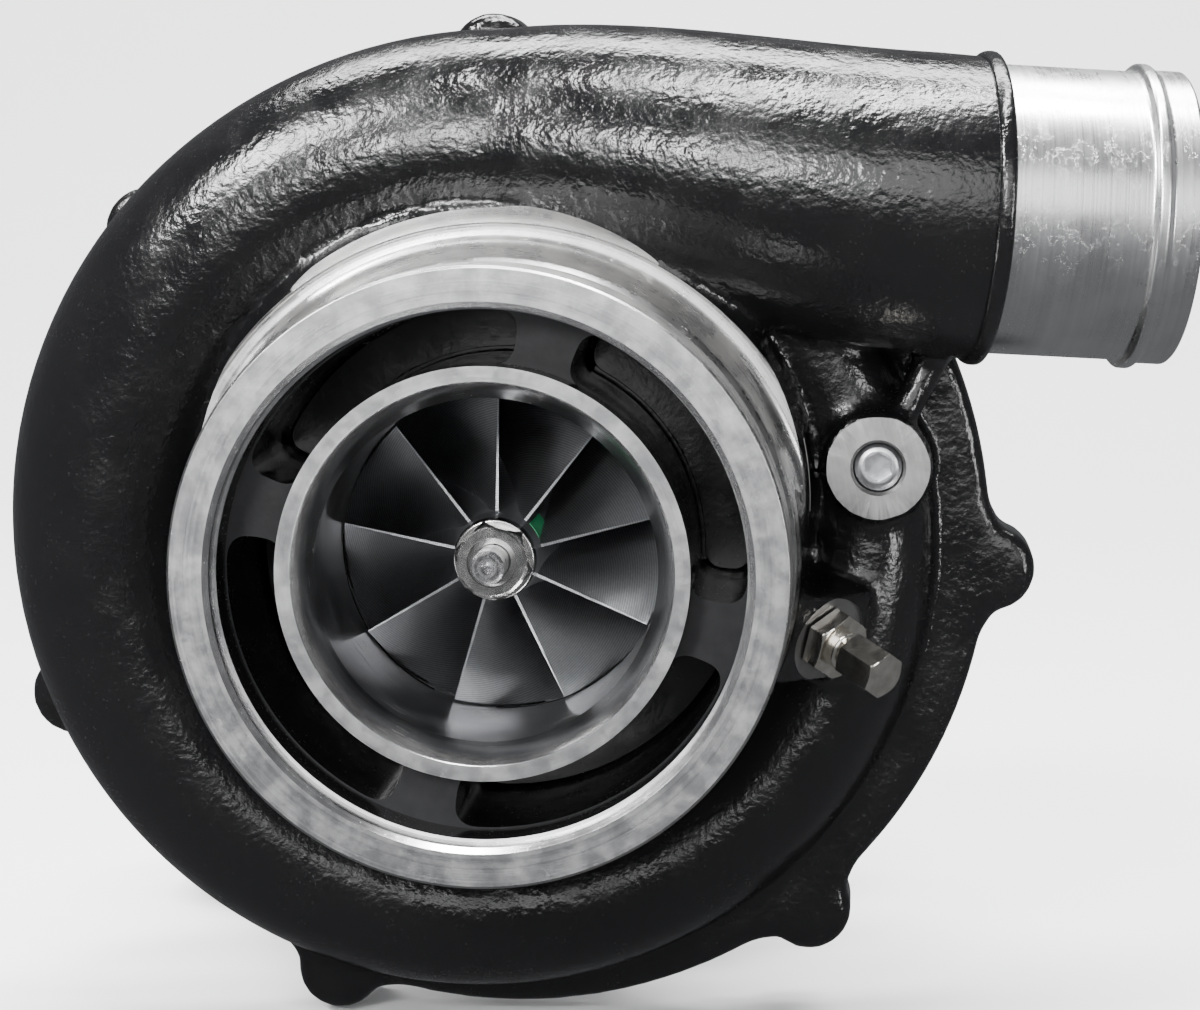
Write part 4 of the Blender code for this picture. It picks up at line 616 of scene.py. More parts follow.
ALLOY = bright_steel("cast_nickel_alloy", (0.5, 0.47, 0.43), (0.3, 0.28, 0.26), 0.36, 0.7, 0.05)
RUBBER = soft_black("black_rubber", (0.014, 0.014, 0.015), 0.5)
GASKET = soft_black("grey_gasket_sheet", (0.12, 0.12, 0.125), 0.75)
MARK = paint_mark()


# Compressor cover


def scroll_centre(travel):
    """Centre and section radius of the scroll after so many degrees of travel."""
    share = travel / SCROLL_SWEEP
    section = mix(*SCROLL_SECTION, share)
    growth = min(max(SCROLL_SWELL[0] * share + SCROLL_SWELL[1], 0), 1)
    swell = sin(0.5 * pi * growth) ** 2
    outer = mix(*SCROLL_OUTER, swell)
    return polar(outer - section, SCROLL_START - travel, SCROLL_BACK_Y - section), section


def outlet_aim():
    drop, lean = radians(OUTLET_DROP), radians(OUTLET_LEAN)
    return Vector((cos(drop) * cos(lean), sin(lean), -sin(drop) * cos(lean)))


def outlet_point(share):
    """Centre of the duct between the scroll's end and the outlet's body end."""
    start = scroll_centre(SCROLL_SWEEP)[0]
    reach = (OUTLET_FOOT - start).length
    leave = Vector((1, -0.05, 0)) * reach
    arrive = outlet_aim() * reach
    s, s2, s3 = share, share ** 2, share ** 3
    return (
        start * (2 * s3 - 3 * s2 + 1) + leave * (s3 - 2 * s2 + s)
        + OUTLET_FOOT * (3 * s2 - 2 * s3) + arrive * (s3 - s2)
    )


def duct_rows(inset, end_radius, first=0):
    """Rings of the scroll and its duct, drawn in from the outside by the inset."""
    rows = []
    steps = 110
    for i in range(steps):
        travel = mix(first, SCROLL_SWEEP, i / steps)
        centre, section = scroll_centre(travel)
        ahead = scroll_centre(travel + 1)[0] - scroll_centre(travel - 1)[0]
        rows.append(ring_round(centre, ahead, section - inset))
    for i in range(25):
        share = i / 24
        ahead = outlet_point(share + 0.01) - outlet_point(share - 0.01)
        radius = mix(SCROLL_SECTION[1] - inset, end_radius, min(1, share * 1.15) ** 0.8)
        rows.append(ring_round(outlet_point(share), ahead, radius))
    return rows


def lug_rise(turn):
    """How far a lug lifts the flange's edge at an angle, from 0 to 1."""
    nearest = min(abs((turn - lug + 180) % 360 - 180) for lug in LUG_ANGLES)
    if nearest >= LUG_HALF_ANGLE:
        return 0
    return cos(0.5 * pi * nearest / LUG_HALF_ANGLE) ** 2


def flange_rows():
    """The flange's edge with its six lugs, rounded towards the inlet side."""
    rows = []
    for y, inset in ((COVER_LENGTH, 0), (FLANGE_Y + 2.2, 0), (FLANGE_Y + 0.7, 0.6), (FLANGE_Y, 2)):
        rows.append([polar(mix(FLANGE_R, LUG_R, lug_rise(a)) - inset, a, y) for a in range(360)])
    return rows


def flow_point(phase, inlet, rim):
    """(radius, y) on the quarter turn that the air takes from a wheel's inlet to its rim."""
    return mix(rim[0], inlet[0], cos(phase)), mix(inlet[1], rim[1], sin(phase))


def blade_line(clearance):
    """(radius, y) points along the tips of the compressor's blades, inducer to exducer."""
    points = []
    for i in range(19):
        phase = 0.5 * pi * i / 18
        radius, y = flow_point(phase, INDUCER_TIP, EXDUCER_TIP)
        points.append((radius + clearance * cos(phase), y - clearance * sin(phase)))
    return points


def solid_block(centre, half, matrix=None):
    bm = bmesh.new()
    bmesh.ops.create_cube(bm, size=2)
    bm.transform(Matrix.Translation(centre) @ Matrix.Diagonal((*half, 1)))
    return turned_on(matrix, bm) if matrix else bm


def rod_between(start, end, radius, segments=48, end_radius=None, bm=None):
    start, end = Vector(start), Vector(end)
    ahead = end - start
    flat = Vector((0, 1, 0)) if abs(ahead.normalized().y) < 0.9 else Vector((0, 0, 1))
    rows = [
        ring_round(start, ahead, radius, segments, flat),
        ring_round(end, ahead, radius if end_radius is None else end_radius, segments, flat),
    ]
    return skin(rows, bm=bm)


def casting():
    """The rough casting of the cover before any machining, as one smooth skin."""
    rough = COLLAR_R + 0.9
    neck = lathe(
        [(20, -1.6), (rough, -1.6), (rough, FLANGE_Y - 9), (rough + 3, FLANGE_Y - 4),
         (rough + 6, FLANGE_Y + 2), (20, FLANGE_Y + 2)], 180,
    )
    skin(duct_rows(0, OUTLET_BODY_R), bm=neck)
    skin(flange_rows(), bm=neck)
    shoulder = [ring_round(Vector((0, y, 8.5)), Vector((0, 1, 0)), r, 120, Vector((0, 0, 1)))
                for y, r in ((28.6, 49.4), (29.6, 51.2), (33, 53.2), (FLANGE_Y, 54.5))]
    skin(shoulder, bm=neck)
    tongue = []
    for i in range(9):
        angle = mix(SCROLL_START - 8, TONGUE_END, i / 8)
        section = SCROLL_SECTION[0] - 0.4
        centre = polar(SCROLL_OUTER[0] - SCROLL_SECTION[0], angle, SCROLL_BACK_Y - section - 0.6)
        tongue.append(ring_round(centre, polar(1, angle + 90), section))
    skin(tongue, bm=neck)
    nose = [(0, 0), (LUG_NOSE_R - 1.2, 0), (LUG_NOSE_R, 1.6), (LUG_NOSE_R, 15.5), (0, 15.5)]
    for angle in LUG_ANGLES:
        at = Matrix.Translation(polar(LUG_NOSE_AT, angle, FLANGE_Y))
        join_bmeshes(neck, turned_on(at, lathe(nose, 48)))
    body = solid("compressor_cover_casting", neck, BLACK)
    extras = bmesh.new()
    foot = Vector((SPEED_BOSS.x, FLANGE_Y + 1, SPEED_BOSS.z))
    rod_between(SPEED_BOSS - Vector((0, 0.4, 0)), foot, SPEED_BOSS_R, bm=extras)
    rod_between(SPEED_BOSS + Vector((2, 4, 4)), (76, 53, 36), 2.4, 24, 3.36, bm=extras)
    pad = solid_block(Vector((0, -6, 0)), (8.2, 6.3, 8.2), aimed(FITTING_AIM, FITTING_SEAT))
    join_meshes(body, extras, pad)
    melt(body, 1.05, 5)
    return body


def join_bmeshes(first, second):
    mesh = bpy.data.meshes.new("part")
    second.to_mesh(mesh)
    second.free()
    first.from_mesh(mesh)
    bpy.data.meshes.remove(mesh)


def join_meshes(obj, *parts):
    """Adds closed shapes to an object."""
    bm = bmesh.new()
    bm.from_mesh(obj.data)
    for part in parts:
        bmesh.ops.recalc_face_normals(part, faces=part.faces)
        join_bmeshes(bm, part)
    bm.to_mesh(obj.data)
    bm.free()


def port_cutters():
    """Four round-ended ports between the webs, each with its slot into the bore."""
    half_web = degrees(0.5 * WEB_WIDTH / SHROUD_OUTER_R)
    step = 360 / len(WEB_ANGLES)
    inner, outer = SHROUD_OUTER_R - 0.2, BOWL_R - 0.3
    middle = 0.5 * (inner + outer)
    half_arc = 0.5 * radians(step - 2 * half_web) * middle
    corners = [(inner, -half_arc), (outer, -half_arc), (outer, half_arc), (inner, half_arc)]
    edge = []
    for index, (radius, arc) in enumerate(corners):
        after = corners[(index + 1) % 4]
        rounded = eased([(r + 500, a) for r, a in corners], 3.9, 7)[index * 8:index * 8 + 8]
        edge += [(point.x - 500, point.y) for point in rounded]
        if radius == after[0]:
            edge += [(radius, mix(arc, after[1], i / 30)) for i in range(3, 28)]
    bm = bmesh.new()
    for web in WEB_ANGLES:
        centre = web + 0.5 * step
        rows = []
        for y, inset in ((WEB_Y - 0.5, 0), (PORT_FLOOR_Y - 3, 0), (PORT_FLOOR_Y, 1.6)):
            shrink = 1 - 0.03 * inset
            rows.append([
                polar(mix(r, middle, inset / (outer - inner)), centre + degrees(a / middle) * shrink, y)
                for r, a in edge
            ])
        skin(rows, bm=bm)
    slots = bmesh.new()
    low, high = BORE_SLOT_Y
    outline = [(inner + 1, low), (inner + 1, high), (BORE_R - 0.6, high), (BORE_R - 0.6, low)]
    for web in WEB_ANGLES:
        lathe(outline, 48, web + half_web + 4, step - 2 * half_web - 8, slots)
    return bm, slots


def collar_outline():
    """What the lathe takes off round the outside of the inlet, with the front face."""
    return [
        (0, 0), (0, -6), (57.5, -6, 0), (57.5, 33.4, 0.8), (54, 33.1, 3),
        (52.1, 28, 2), (51.9, 24.6, 0.3), (49.6, 21.6, 0.3), (49.6, 15.7, 0.3), (COLLAR_R, 14.8, 0.3),
        (COLLAR_R, 0.5, 0.1), (COLLAR_R - 0.4, 0, 0.1),
    ]


def mouth_outline():
    """What the lathe takes out of the inlet, from its face to the wheel's rim."""
    return [
        (0, -5), (FACE_INNER_R, -5), (FACE_INNER_R, 0), (44.75, 0.95), (44.75, PAINT_LINE_Y),
        (BOWL_R, PAINT_LINE_Y + 0.1), (BOWL_R, WEB_Y), (SHROUD_OUTER_R, WEB_Y),
        (SHROUD_OUTER_R, SHROUD_FACE_Y), (SHROUD_INNER_R + 0.25, SHROUD_FACE_Y),
        (SHROUD_INNER_R, SHROUD_FACE_Y + 0.25), (BORE_R, BORE_CONE_END_Y), *blade_line(0.4),
        (EXDUCER_R + 0.6, 67), (EXDUCER_R + 0.6, 69), (0, 69),
    ]


def relief_bevel():
    """The bevel outside the collar's relief, fading to nothing at its two ends."""
    first, last = RELIEF_ENDS
    rows = []
    for i in range(81):
        angle = mix(first, last, i / 80)
        edge = 57.9 + 2.9 * sin(pi * i / 80) ** 0.7
        slope = 32.2 - 0.9 * (edge - 57.7)
        outline = [(56.6, 32.9), (57.7, 32.2), (edge, slope), (edge, -1.2), (56.6, -1.2)]
        rows.append([polar(radius, angle, y) for radius, y in outline])
    return skin(rows)


def make_cover():
    cover = casting()
    diffuser_r = scroll_centre(0)[0].xz.length
    y = WHEEL_RIM_Y - EXDUCER_HEIGHT - 0.4
    back = [
        (0, y), (diffuser_r, y), (diffuser_r, WHEEL_RIM_Y), (REGISTER_R, WHEEL_RIM_Y),
        (REGISTER_R, COVER_LENGTH + 1), (0, COVER_LENGTH + 1),
    ]
    aim = outlet_aim()
    passage = duct_rows(3.2, OUTLET_BORE_R, 2)
    passage.append(ring_round(OUTLET_FOOT + aim * 6, aim, OUTLET_BORE_R))
    carve(cover, skin(passage))
    carve(cover, lathe(eased(collar_outline()), 288), RELIEF)
    carve(cover, lathe(mouth_outline(), 288), BORE)
    carve(cover, relief_bevel(), RELIEF)
    for cutter in port_cutters():
        carve(cover, cutter, BOWL_BLACK)
    carve(cover, lathe(back, 240), MACHINED)
    holes = bmesh.new()
    for angle in LUG_ANGLES:
        rod_between(polar(BOLT_CIRCLE_R, angle, 64), polar(BOLT_CIRCLE_R, angle, 77), 3.2, bm=holes)
    carve(cover, holes, MACHINED)
    seats = bmesh.new()
    outline = [(0, -2), (14, -2), (14, 0), (4.9, 0), (4.4, 0.55), (4.4, 12), (0, 12)]
    turned_on(Matrix.Translation(SPEED_BOSS), lathe(outline, 96, bm=seats))
    carve(cover, seats, SPOT_FACE)
    for radius, low, high, segments in ((7.8, -0.25, 1.6, 96), (2.7, -12, 2, 48)):
        seat = lathe([(0, low), (radius, low), (radius, high), (0, high)], segments)
        carve(cover, turned_on(aimed(FITTING_AIM, FITTING_SEAT), seat), SPOT_FACE)
    share_out_finishes(cover)
    piece(cover, stands_for=("compressor_cover",))


def share_out_finishes(cover):
    """Paints the bowl and gives the flats between the ports and the two faces their finishes."""
    for finish in (MACHINED, WEB_GREY, BOWL_BLACK):
        if finish.name not in cover.data.materials:
            cover.data.materials.append(finish)
    numbers = {slot.name: index for index, slot in enumerate(cover.data.materials)}
    turned_in = {numbers[RELIEF.name], numbers[BORE.name]}
    for face in cover.data.polygons:
        if face.material_index not in turned_in:
            continue
        radius, y = hypot(face.center.x, face.center.z), face.center.y
        flat = face.normal.y < -0.99
        if flat and (abs(y) < 0.05 or abs(y - SHROUD_FACE_Y) < 0.05):
            face.material_index = numbers[MACHINED.name]
        elif flat and abs(y - WEB_Y) < 0.05:
            face.material_index = numbers[WEB_GREY.name]
        elif SHROUD_OUTER_R - 0.1 < radius < BOWL_R + 0.1 and PAINT_LINE_Y + 0.1 < y < PORT_FLOOR_Y:
            face.material_index = numbers[BOWL_BLACK.name]


def make_outlet_pipe():
    """Machined hose pipe with its bead, sunk in the cover's outlet body."""
    end = OUTLET_LENGTH
    bead = end - OUTLET_BEAD_FROM_END
    outline = [
        (OUTLET_BORE_R, -3, 0), (OUTLET_PIPE_R - 0.4, -3, 0), (OUTLET_PIPE_R - 0.4, 1.2, 0),
        (OUTLET_PIPE_R - 0.4, bead - 1.5, 0.6), (OUTLET_PIPE_R + 1, bead - 0.9, 0.5),
        (OUTLET_PIPE_R + 1, bead + 0.9, 0.5), (OUTLET_PIPE_R, bead + 1.6, 0.5),
        (OUTLET_PIPE_R, end - 0.5, 0.2), (OUTLET_PIPE_R - 0.5, end, 0.2), (OUTLET_BORE_R + 0.5, end, 0.2),
        (OUTLET_BORE_R, end - 0.6, 0.2),
    ]
    pipe = solid("outlet_hose_pipe", lathe(eased(outline), 192), PIPE)
    piece(pipe, at=aimed(outlet_aim(), OUTLET_FOOT))
    lip = [
        (OUTLET_PIPE_R - 0.3, -2, 0), (OUTLET_BODY_R + 0.3, -2.4, 0.8), (OUTLET_BODY_R + 1, -1.2, 0.9),
        (OUTLET_BODY_R + 0.9, 0.6, 1.1), (OUTLET_PIPE_R - 0.3, 0.9, 0.3),
    ]
    lip = solid("outlet_body_lip", lathe(eased(lip), 144), BLACK)
    piece(lip, at=aimed(outlet_aim(), OUTLET_FOOT))


def make_speed_plug():
    outline = [(0, 1.2), (2.9, 1.2, 0.15), (3.5, 1.4, 0.1), (4.2, 1.9, 0.2), (4.2, 9, 0.3), (0, 9)]
    plug = solid("speed_port_plug_body", lathe(eased(outline), 96), ZINC)
    carve(plug, hex_solid(0.8, 4.6, 2.3, chamfer_high=False))
    piece(plug, stands_for=("speed_port_plug",), at=Matrix.Translation(SPEED_BOSS))


def make_boost_fitting():
    at = aimed(FITTING_AIM, FITTING_SEAT)
    fitting = solid("boost_fitting_hexagon", hex_solid(0.25, 4, 5.37), NICKEL)
    piece(fitting, stands_for=("boost_fitting",), at=at)
    collar = [(0, 3.8), (3.6, 3.8), (3.6, 5.2, 0.3), (2.6, 5.9), (2.6, 6.2), (0, 6.2)]
    collar = solid("boost_fitting_step", lathe(eased(collar), 72), NICKEL)
    piece(collar, at=at)
    neck = solid("boost_fitting_thread", threaded(-10, 10.6, 2.4, 0.7, 0.32), NICKEL)
    piece(neck, at=at, sharp=60)
    cap = hex_solid(6.5, 15, 3.75, chamfer_low=True)
    piece(solid("boost_fitting_cap_nut", cap, NICKEL), stands_for=("boost_fitting_cap",), at=at)


def make_clamps_and_bolts():
    low, high = CLAMP_Y
    inner, outer = CLAMP_R
    for index, (first, last) in enumerate(LUG_PAIRS):
        outline = [(inner, low, 0.4), (outer, low, 0.4), (outer, high, 0.4), (inner, high, 0.4)]
        clamp = lathe(eased(outline), 60, first - 4.5, last - first + 9)
        clamp = solid(f"cover_clamp_plate_{index + 1}", clamp, ZINC)
        for angle in (first, last):
            ear = eased([(0, low, 0), (5.9, low, 0.4), (5.9, high, 0.4), (0, high, 0)])
            at = Matrix.Translation(polar(LUG_NOSE_AT, angle))
            carve(clamp, turned_on(at, lathe(ear, 72)), operation="UNION")
        piece(clamp, stands_for=(f"cover_clamp_{index + 1}",))
        for side, angle in enumerate((first, last)):
            number = 2 * index + side + 1
            head = hex_solid(high + 0.9, high + 4.5, 4.75)
            washer = [(0, 79.3), (5.4, 79.3, 0.1), (5.4, 80.2, 0.3), (0, 80.2)]
            lathe(eased(washer), 72, bm=head)
            at = Matrix.Translation(polar(BOLT_CIRCLE_R, angle))
            head = solid(f"cover_bolt_head_{number}", head, ZINC)
            piece(head, stands_for=(f"cover_bolt_{number}",), at=at)


# Rotor


def bladed(stations, angles, root, tip, spans=12):
    """Closed blades. A station is (hub point, tip point, wrap) with (radius, y) points."""
    bm = bmesh.new()
    for first in angles:
        rows = []
        last = len(stations) - 1
        for index, (hub, end, wrap) in enumerate(stations):
            thin = min(1, 0.35 + 0.65 * index / 2, 0.35 + 0.65 * (last - index) / 2)
            sides = ([], [])
            for side, sign in zip(sides, (-1, 1)):
                for i in range(spans + 1):
                    share = i / spans
                    radius, y = mix(hub[0], end[0], share), mix(hub[1], end[1], share)
                    lean = degrees(0.5 * sign * mix(root, tip, share) * thin / radius)
                    side.append(polar(radius, first + wrap + lean, y))
            rows.append(sides[0] + sides[1][::-1])
        skin(rows, bm=bm)
    return bm


def compressor_stations(count=28):
    """Blade lines that follow the hub and the shroud from inducer to exducer."""
    stations = []
    for i in range(count + 1):
        share = i / count
        phase = 0.5 * pi * share
        radius, y = flow_point(phase, (HUB_R, INDUCER_HUB_Y), (EXDUCER_R, WHEEL_RIM_Y + 0.9))
        tip = flow_point(phase, INDUCER_TIP, EXDUCER_TIP)
        stations.append(((radius - 0.6 * cos(phase), y), tip, degrees(2.1 * share - 0.885 * share ** 2)))
    return stations


def hub_line(phases):
    return [flow_point(phase, (HUB_R, INDUCER_HUB_Y), (EXDUCER_R, WHEEL_RIM_Y)) for phase in phases]


def make_compressor_wheel():
    back = WHEEL_RIM_Y + 1.5
    hub = [(3.2, WHEEL_NOSE_Y), (6.2, WHEEL_NOSE_Y), (6.6, WHEEL_NOSE_Y + 0.4)]
    hub += hub_line(0.5 * pi * i / 24 for i in range(25))
    hub += [(EXDUCER_R, back), (9, back), (9, WHEEL_END_Y), (3.2, WHEEL_END_Y)]
    hub = solid("compressor_wheel_hub", lathe(hub, 216), BILLET)
    piece(hub, "rotor", ("compressor_wheel",))
    angles = [FIRST_BLADE + 360 * i / BLADES for i in range(BLADES)]
    blades = bladed(compressor_stations(), angles, 1.5, 0.75)
    blades = solid("compressor_wheel_blades", blades, BILLET)
    piece(blades, "rotor", sharp=40)
    patch = hub_line(0.02 + 0.035 * i for i in range(8))
    outline = [(radius + 0.12, y - 0.05) for radius, y in patch]
    outline += [(radius - 0.3, y) for radius, y in patch[::-1]]
    dab = lathe(outline, 24, 23, 22)
    piece(solid("green_paint_dab", dab, MARK), "rotor")


def make_nut_and_shaft():
    twist = Matrix.Rotation(radians(-15), 4, "Y")
    stations = [
        (NUT_Y, 5.55, 5.6), (NUT_Y + 0.35, 5.98, 6.05), (NUT_Y + 1, 5.98, 6.5), (NUT_Y + 1.9, 5.98, 6.9),
        (NUT_Y + 4.2, 5.98, 6.9),
    ]
    nut = solid("compressor_nut_hexagon", turned_on(twist, shaped(stations, hexagon, 144)), NUT_STEEL)
    bore = [
        (0, NUT_Y - 1), (4.5, NUT_Y - 1), (4.15, NUT_Y + 0.4), (4.15, NUT_Y + 2.2), (3.05, NUT_Y + 2.2),
        (3.05, 31), (0, 31),
    ]
    carve(nut, lathe(bore, 96))
    piece(nut, "rotor", ("compressor_nut",))
    skirt = [(3.05, 27), (6.9, 27, 0.3), (7.2, 28.4, 0.3), (7.2, 29.2, 0.2), (3.05, 29.2)]
    piece(solid("compressor_nut_skirt", lathe(eased(skirt), 120), NUT_STEEL), "rotor")
    outline = [
        (0, SHAFT_TIP_Y + 4), (1.2, SHAFT_TIP_Y + 4, 0), (1.2, SHAFT_TIP_Y + 0.3, 0.1),
        (1.5, SHAFT_TIP_Y, 0.1), (SHAFT_TIP_R - 0.5, SHAFT_TIP_Y, 0.15),
        (SHAFT_TIP_R, SHAFT_TIP_Y + 0.5, 0.15), (SHAFT_TIP_R, WHEEL_END_Y, 0), (0, WHEEL_END_Y),
    ]
    shaft = solid("rotor_shaft_front", lathe(eased(outline), 96), SHAFT_STEEL)
    piece(shaft, "rotor")


# The rest of the turbocharger


def make_centre_housing():
    barrel = [
        (14, HOUSING_Y), (42, HOUSING_Y), (42, HOUSING_Y + 8), (31, HOUSING_Y + 8),
        (25, HOUSING_Y + 14), (25, 124), (34, 132), (45.4, 132), (47, 133.6),
        (47, HOUSING_END_Y), (14, HOUSING_END_Y),
    ]
    bm = lathe(barrel, 144)
    rod_between((0, OIL_Y, 12), (0, OIL_Y, OIL_TOP_Z), 10, end_radius=9.6, bm=bm)
    for side in (-1, 1):
        rod_between((side * 12, OIL_Y, 0), (side * COOLANT_X, OIL_Y, 0), 11.5, end_radius=11.1, bm=bm)
    housing = solid("center_housing_casting", bm, IRON)
    join_meshes(housing, skin([oblong(24, 11.5, z) for z in (DRAIN_Z, -14)]))
    melt(housing, 1, 4)
    faces = bmesh.new()
    rod_between((0, OIL_Y, OIL_TOP_Z - 0.4), (0, OIL_Y, 60), 16, bm=faces)
    for side in (-1, 1):
        rod_between((side * (COOLANT_X - 0.4), OIL_Y, 0), (side * 60, OIL_Y, 0), 16, bm=faces)
    carve(housing, faces, FLANGE_FACE)
    carve(housing, solid_block(Vector((0, OIL_Y, -60)), (40, 20, 60 + DRAIN_Z + 0.4)), FLANGE_FACE)
    rims = lathe([(40.9, 80), (60, 80), (60, 91), (41.7, 91), (41.7, 82.9), (40.9, 82.1)], 180)
    carve(housing, rims, FLANGE_FACE)
    bores = bmesh.new()
    rod_between((0, OIL_Y, DRAIN_Z - 2), (0, OIL_Y, -27), 7, bm=bores)
    carve(housing, bores, FLANGE_FACE)
    piece(housing, stands_for=("center_housing",))


def oblong(half_width, half_depth, z):
    """A flat bar with rounded ends, round the oil drain."""
    points = []
    for centre, start in ((half_width - half_depth, -90), (half_depth - half_width, 90)):
        for i in range(25):
            angle = radians(start + 7.5 * i)
            points.append(Vector((centre + half_depth * cos(angle), OIL_Y + half_depth * sin(angle), z)))
    return points


def hex_fitting(name, node, at, hex_flat, hex_length, nose_r, nose_end_r, nose_end, bore_r):
    """A union with a chamfered hexagon, a turned step, a flare nose and an open bore."""
    fitting = solid(name, hex_solid(0.3, hex_length, hex_flat, chamfer_low=True), ZINC)
    past = hex_length + 1
    carve(fitting, lathe([(0, -1), (bore_r, -1), (bore_r, past), (0, past)], 48))
    nose = [
        (bore_r, hex_length - 1), (nose_r + 0.9, hex_length - 1), (nose_r + 0.9, hex_length + 0.8, 0.3),
        (nose_r, hex_length + 1.2), (nose_r, mix(hex_length, nose_end, 0.55)),
        (nose_end_r, nose_end, 0.4), (bore_r + 0.8, nose_end), (bore_r, nose_end - 0.9),
    ]
    join_meshes(fitting, lathe(eased(nose), 72))
    piece(fitting, stands_for=(node,), at=at)


def make_oil_and_coolant():
    top = aimed((0, 0, 1), (0, OIL_Y, OIL_TOP_Z))
    hex_fitting("oil_inlet_union", "oil_inlet_fitting", top, 8.2, 8, 6, 4.6, 18, 2.2)
    for name, side in (("left", -1), ("right", 1)):
        at = aimed((side, 0, 0), (side * COOLANT_X, OIL_Y, 0))
        hex_fitting(f"coolant_union_{name}", f"coolant_fitting_{name}", at, 9, 7.3, 6.6, 5.4, 20.3, 4)
    top_z = DRAIN_Z - 1.3
    low_z = top_z - 5.2
    flange = solid("oil_drain_plate", skin([oblong(24, 11.5, z) for z in (top_z, low_z)]), ZINC)
    round_edges(flange, 0.5)
    neck = [
        (7, 0), (12, 0), (9.6, 2.2, 1), (9.2, 4), (9.2, 10.2, 0.6), (9.9, 10.9, 0.4),
        (9.2, 11.8, 0.5), (8.8, 12.6, 0.3), (7, 12.6),
    ]
    carve(flange, rod_between((0, OIL_Y, low_z - 1), (0, OIL_Y, top_z + 1), 7))
    piece(flange, stands_for=("oil_drain_flange",))
    spout = solid("oil_drain_spout", lathe(eased(neck), 96), ZINC)
    piece(spout, at=aimed((0, 0, -1), (0, OIL_Y, low_z + 0.3)))
    for index, side in enumerate((-1, 1)):
        at = aimed((0, 0, -1), (side * 16.5, OIL_Y, low_z))
        head = hex_solid(1.2, 4.6, 4)
        lathe(eased([(0, 0.3), (5, 0.3), (5, 1.3, 0.3), (0, 1.3)]), 60, bm=head)
        head = solid(f"drain_bolt_head_{index + 1}", head, ZINC)
        piece(head, stands_for=(f"drain_bolt_{index + 1}",), at=at)


def turbine_centre(travel):
    share = travel / TURBINE_SWEEP
    section = mix(TURBINE_INLET_R, 9.5, share)
    radius = mix(-TURBINE_X, 41, share)
    return polar(radius, 180 - travel, TURBINE_Y - TURBINE_INLET_R + section), section


def turbine_rows(inset, last, start_z):
    up = Vector((0, 0, 1))
    rows = []
    for i in range(24):
        centre = Vector((TURBINE_X, TURBINE_Y, mix(start_z, 0, i / 24)))
        rows.append(ring_round(centre, up, TURBINE_INLET_R - inset))
    for i in range(91):
        travel = last * i / 90
        centre, section = turbine_centre(travel)
        ahead = turbine_centre(travel + 1)[0] - turbine_centre(travel - 1)[0]
        rows.append(ring_round(centre, ahead if i else up, section - inset))
    return rows


def gas_point(phase, radii, heights):
    """(radius, y) on the quarter turn that the gas takes through the turbine wheel."""
    return mix(*radii, 1 - sin(phase)), mix(*heights, 1 - cos(phase))


def make_turbine_housing():
    end = TURBINE_OUTLET_Y
    front = HOUSING_END_Y + 0.3
    core = [
        (20, front), (47, front), (47, front + 4.4), (45.4, front + 6), (38, front + 6),
        (38, front + 9), (44, front + 12), (44, 178), (38, 186), (38, end - 6.4),
        (42.8, end - 5), (44, end - 4.2), (44, end), (20, end),
    ]
    housing = solid("turbine_housing_casting", lathe(core, 160), HOT_IRON)
    foot = Vector((TURBINE_X, TURBINE_Y, TURBINE_FACE_Z))
    flange = rod_between(foot, foot + Vector((0, 0, 6)), 27, 96)
    join_meshes(housing, skin(turbine_rows(0, TURBINE_SWEEP, TURBINE_FACE_Z + 0.6)), flange)
    melt(housing, 1.05, 4)
    carve(housing, skin(turbine_rows(3.5, TURBINE_SWEEP - 3, TURBINE_FACE_Z - 1)))
    shave = solid_block(foot - Vector((0, 0, 10)), (40, 40, 10.35))
    carve(housing, shave, FLANGE_FACE)
    line = []
    for i in range(13):
        phase = 0.5 * pi * i / 12
        radius, y = gas_point(phase, TURBINE_TIP_R, TURBINE_TIP_Y)
        line.append((radius + 0.5 * sin(phase), y + 0.5 * cos(phase)))
    inner = [
        (0, front - 1), (36, front - 1), (36, 149), (41, 149), (41, 157.5), *line,
        (34, end - 14), (34, end + 1), (0, end + 1),
    ]
    carve(housing, lathe(inner, 200), FLANGE_FACE)
    shave = [(30, end - 0.35), (60, end - 0.35), (60, end + 2), (30, end + 2)]
    carve(housing, lathe(shave, 160), FLANGE_FACE)
    piece(housing, stands_for=("turbine_housing",))


def make_turbine_wheel():
    hub = [(0, 143), (7, 143), (7, 147.8), (34, 147.8), (34, 149.3)]
    for i in range(1, 19):
        phase = 0.5 * pi * i / 18
        hub.append(gas_point(phase, TURBINE_HUB_R, (149.3, TURBINE_HUB_END_Y)))
    hub += [(7.6, 184.6), (5.6, 186), (0, 186)]
    wheel = lathe(hub, 144)
    stations = []
    for i in range(17):
        share = i / 16
        phase = 0.5 * pi * share
        radius, y = gas_point(phase, TURBINE_HUB_R, (148.9, TURBINE_HUB_END_Y))
        tip = gas_point(phase, TURBINE_TIP_R, TURBINE_TIP_Y)
        stations.append(((radius - 0.6 * share, y), tip, 48 * share ** 2))
    wheel = solid("turbine_wheel_hub", wheel, ALLOY)
    piece(wheel, "rotor", ("turbine_wheel",))
    blades = bladed(stations, [36 * i for i in range(10)], 1.8, 1)
    blades = solid("turbine_wheel_blades", blades, ALLOY)
    piece(blades, "rotor", sharp=40)


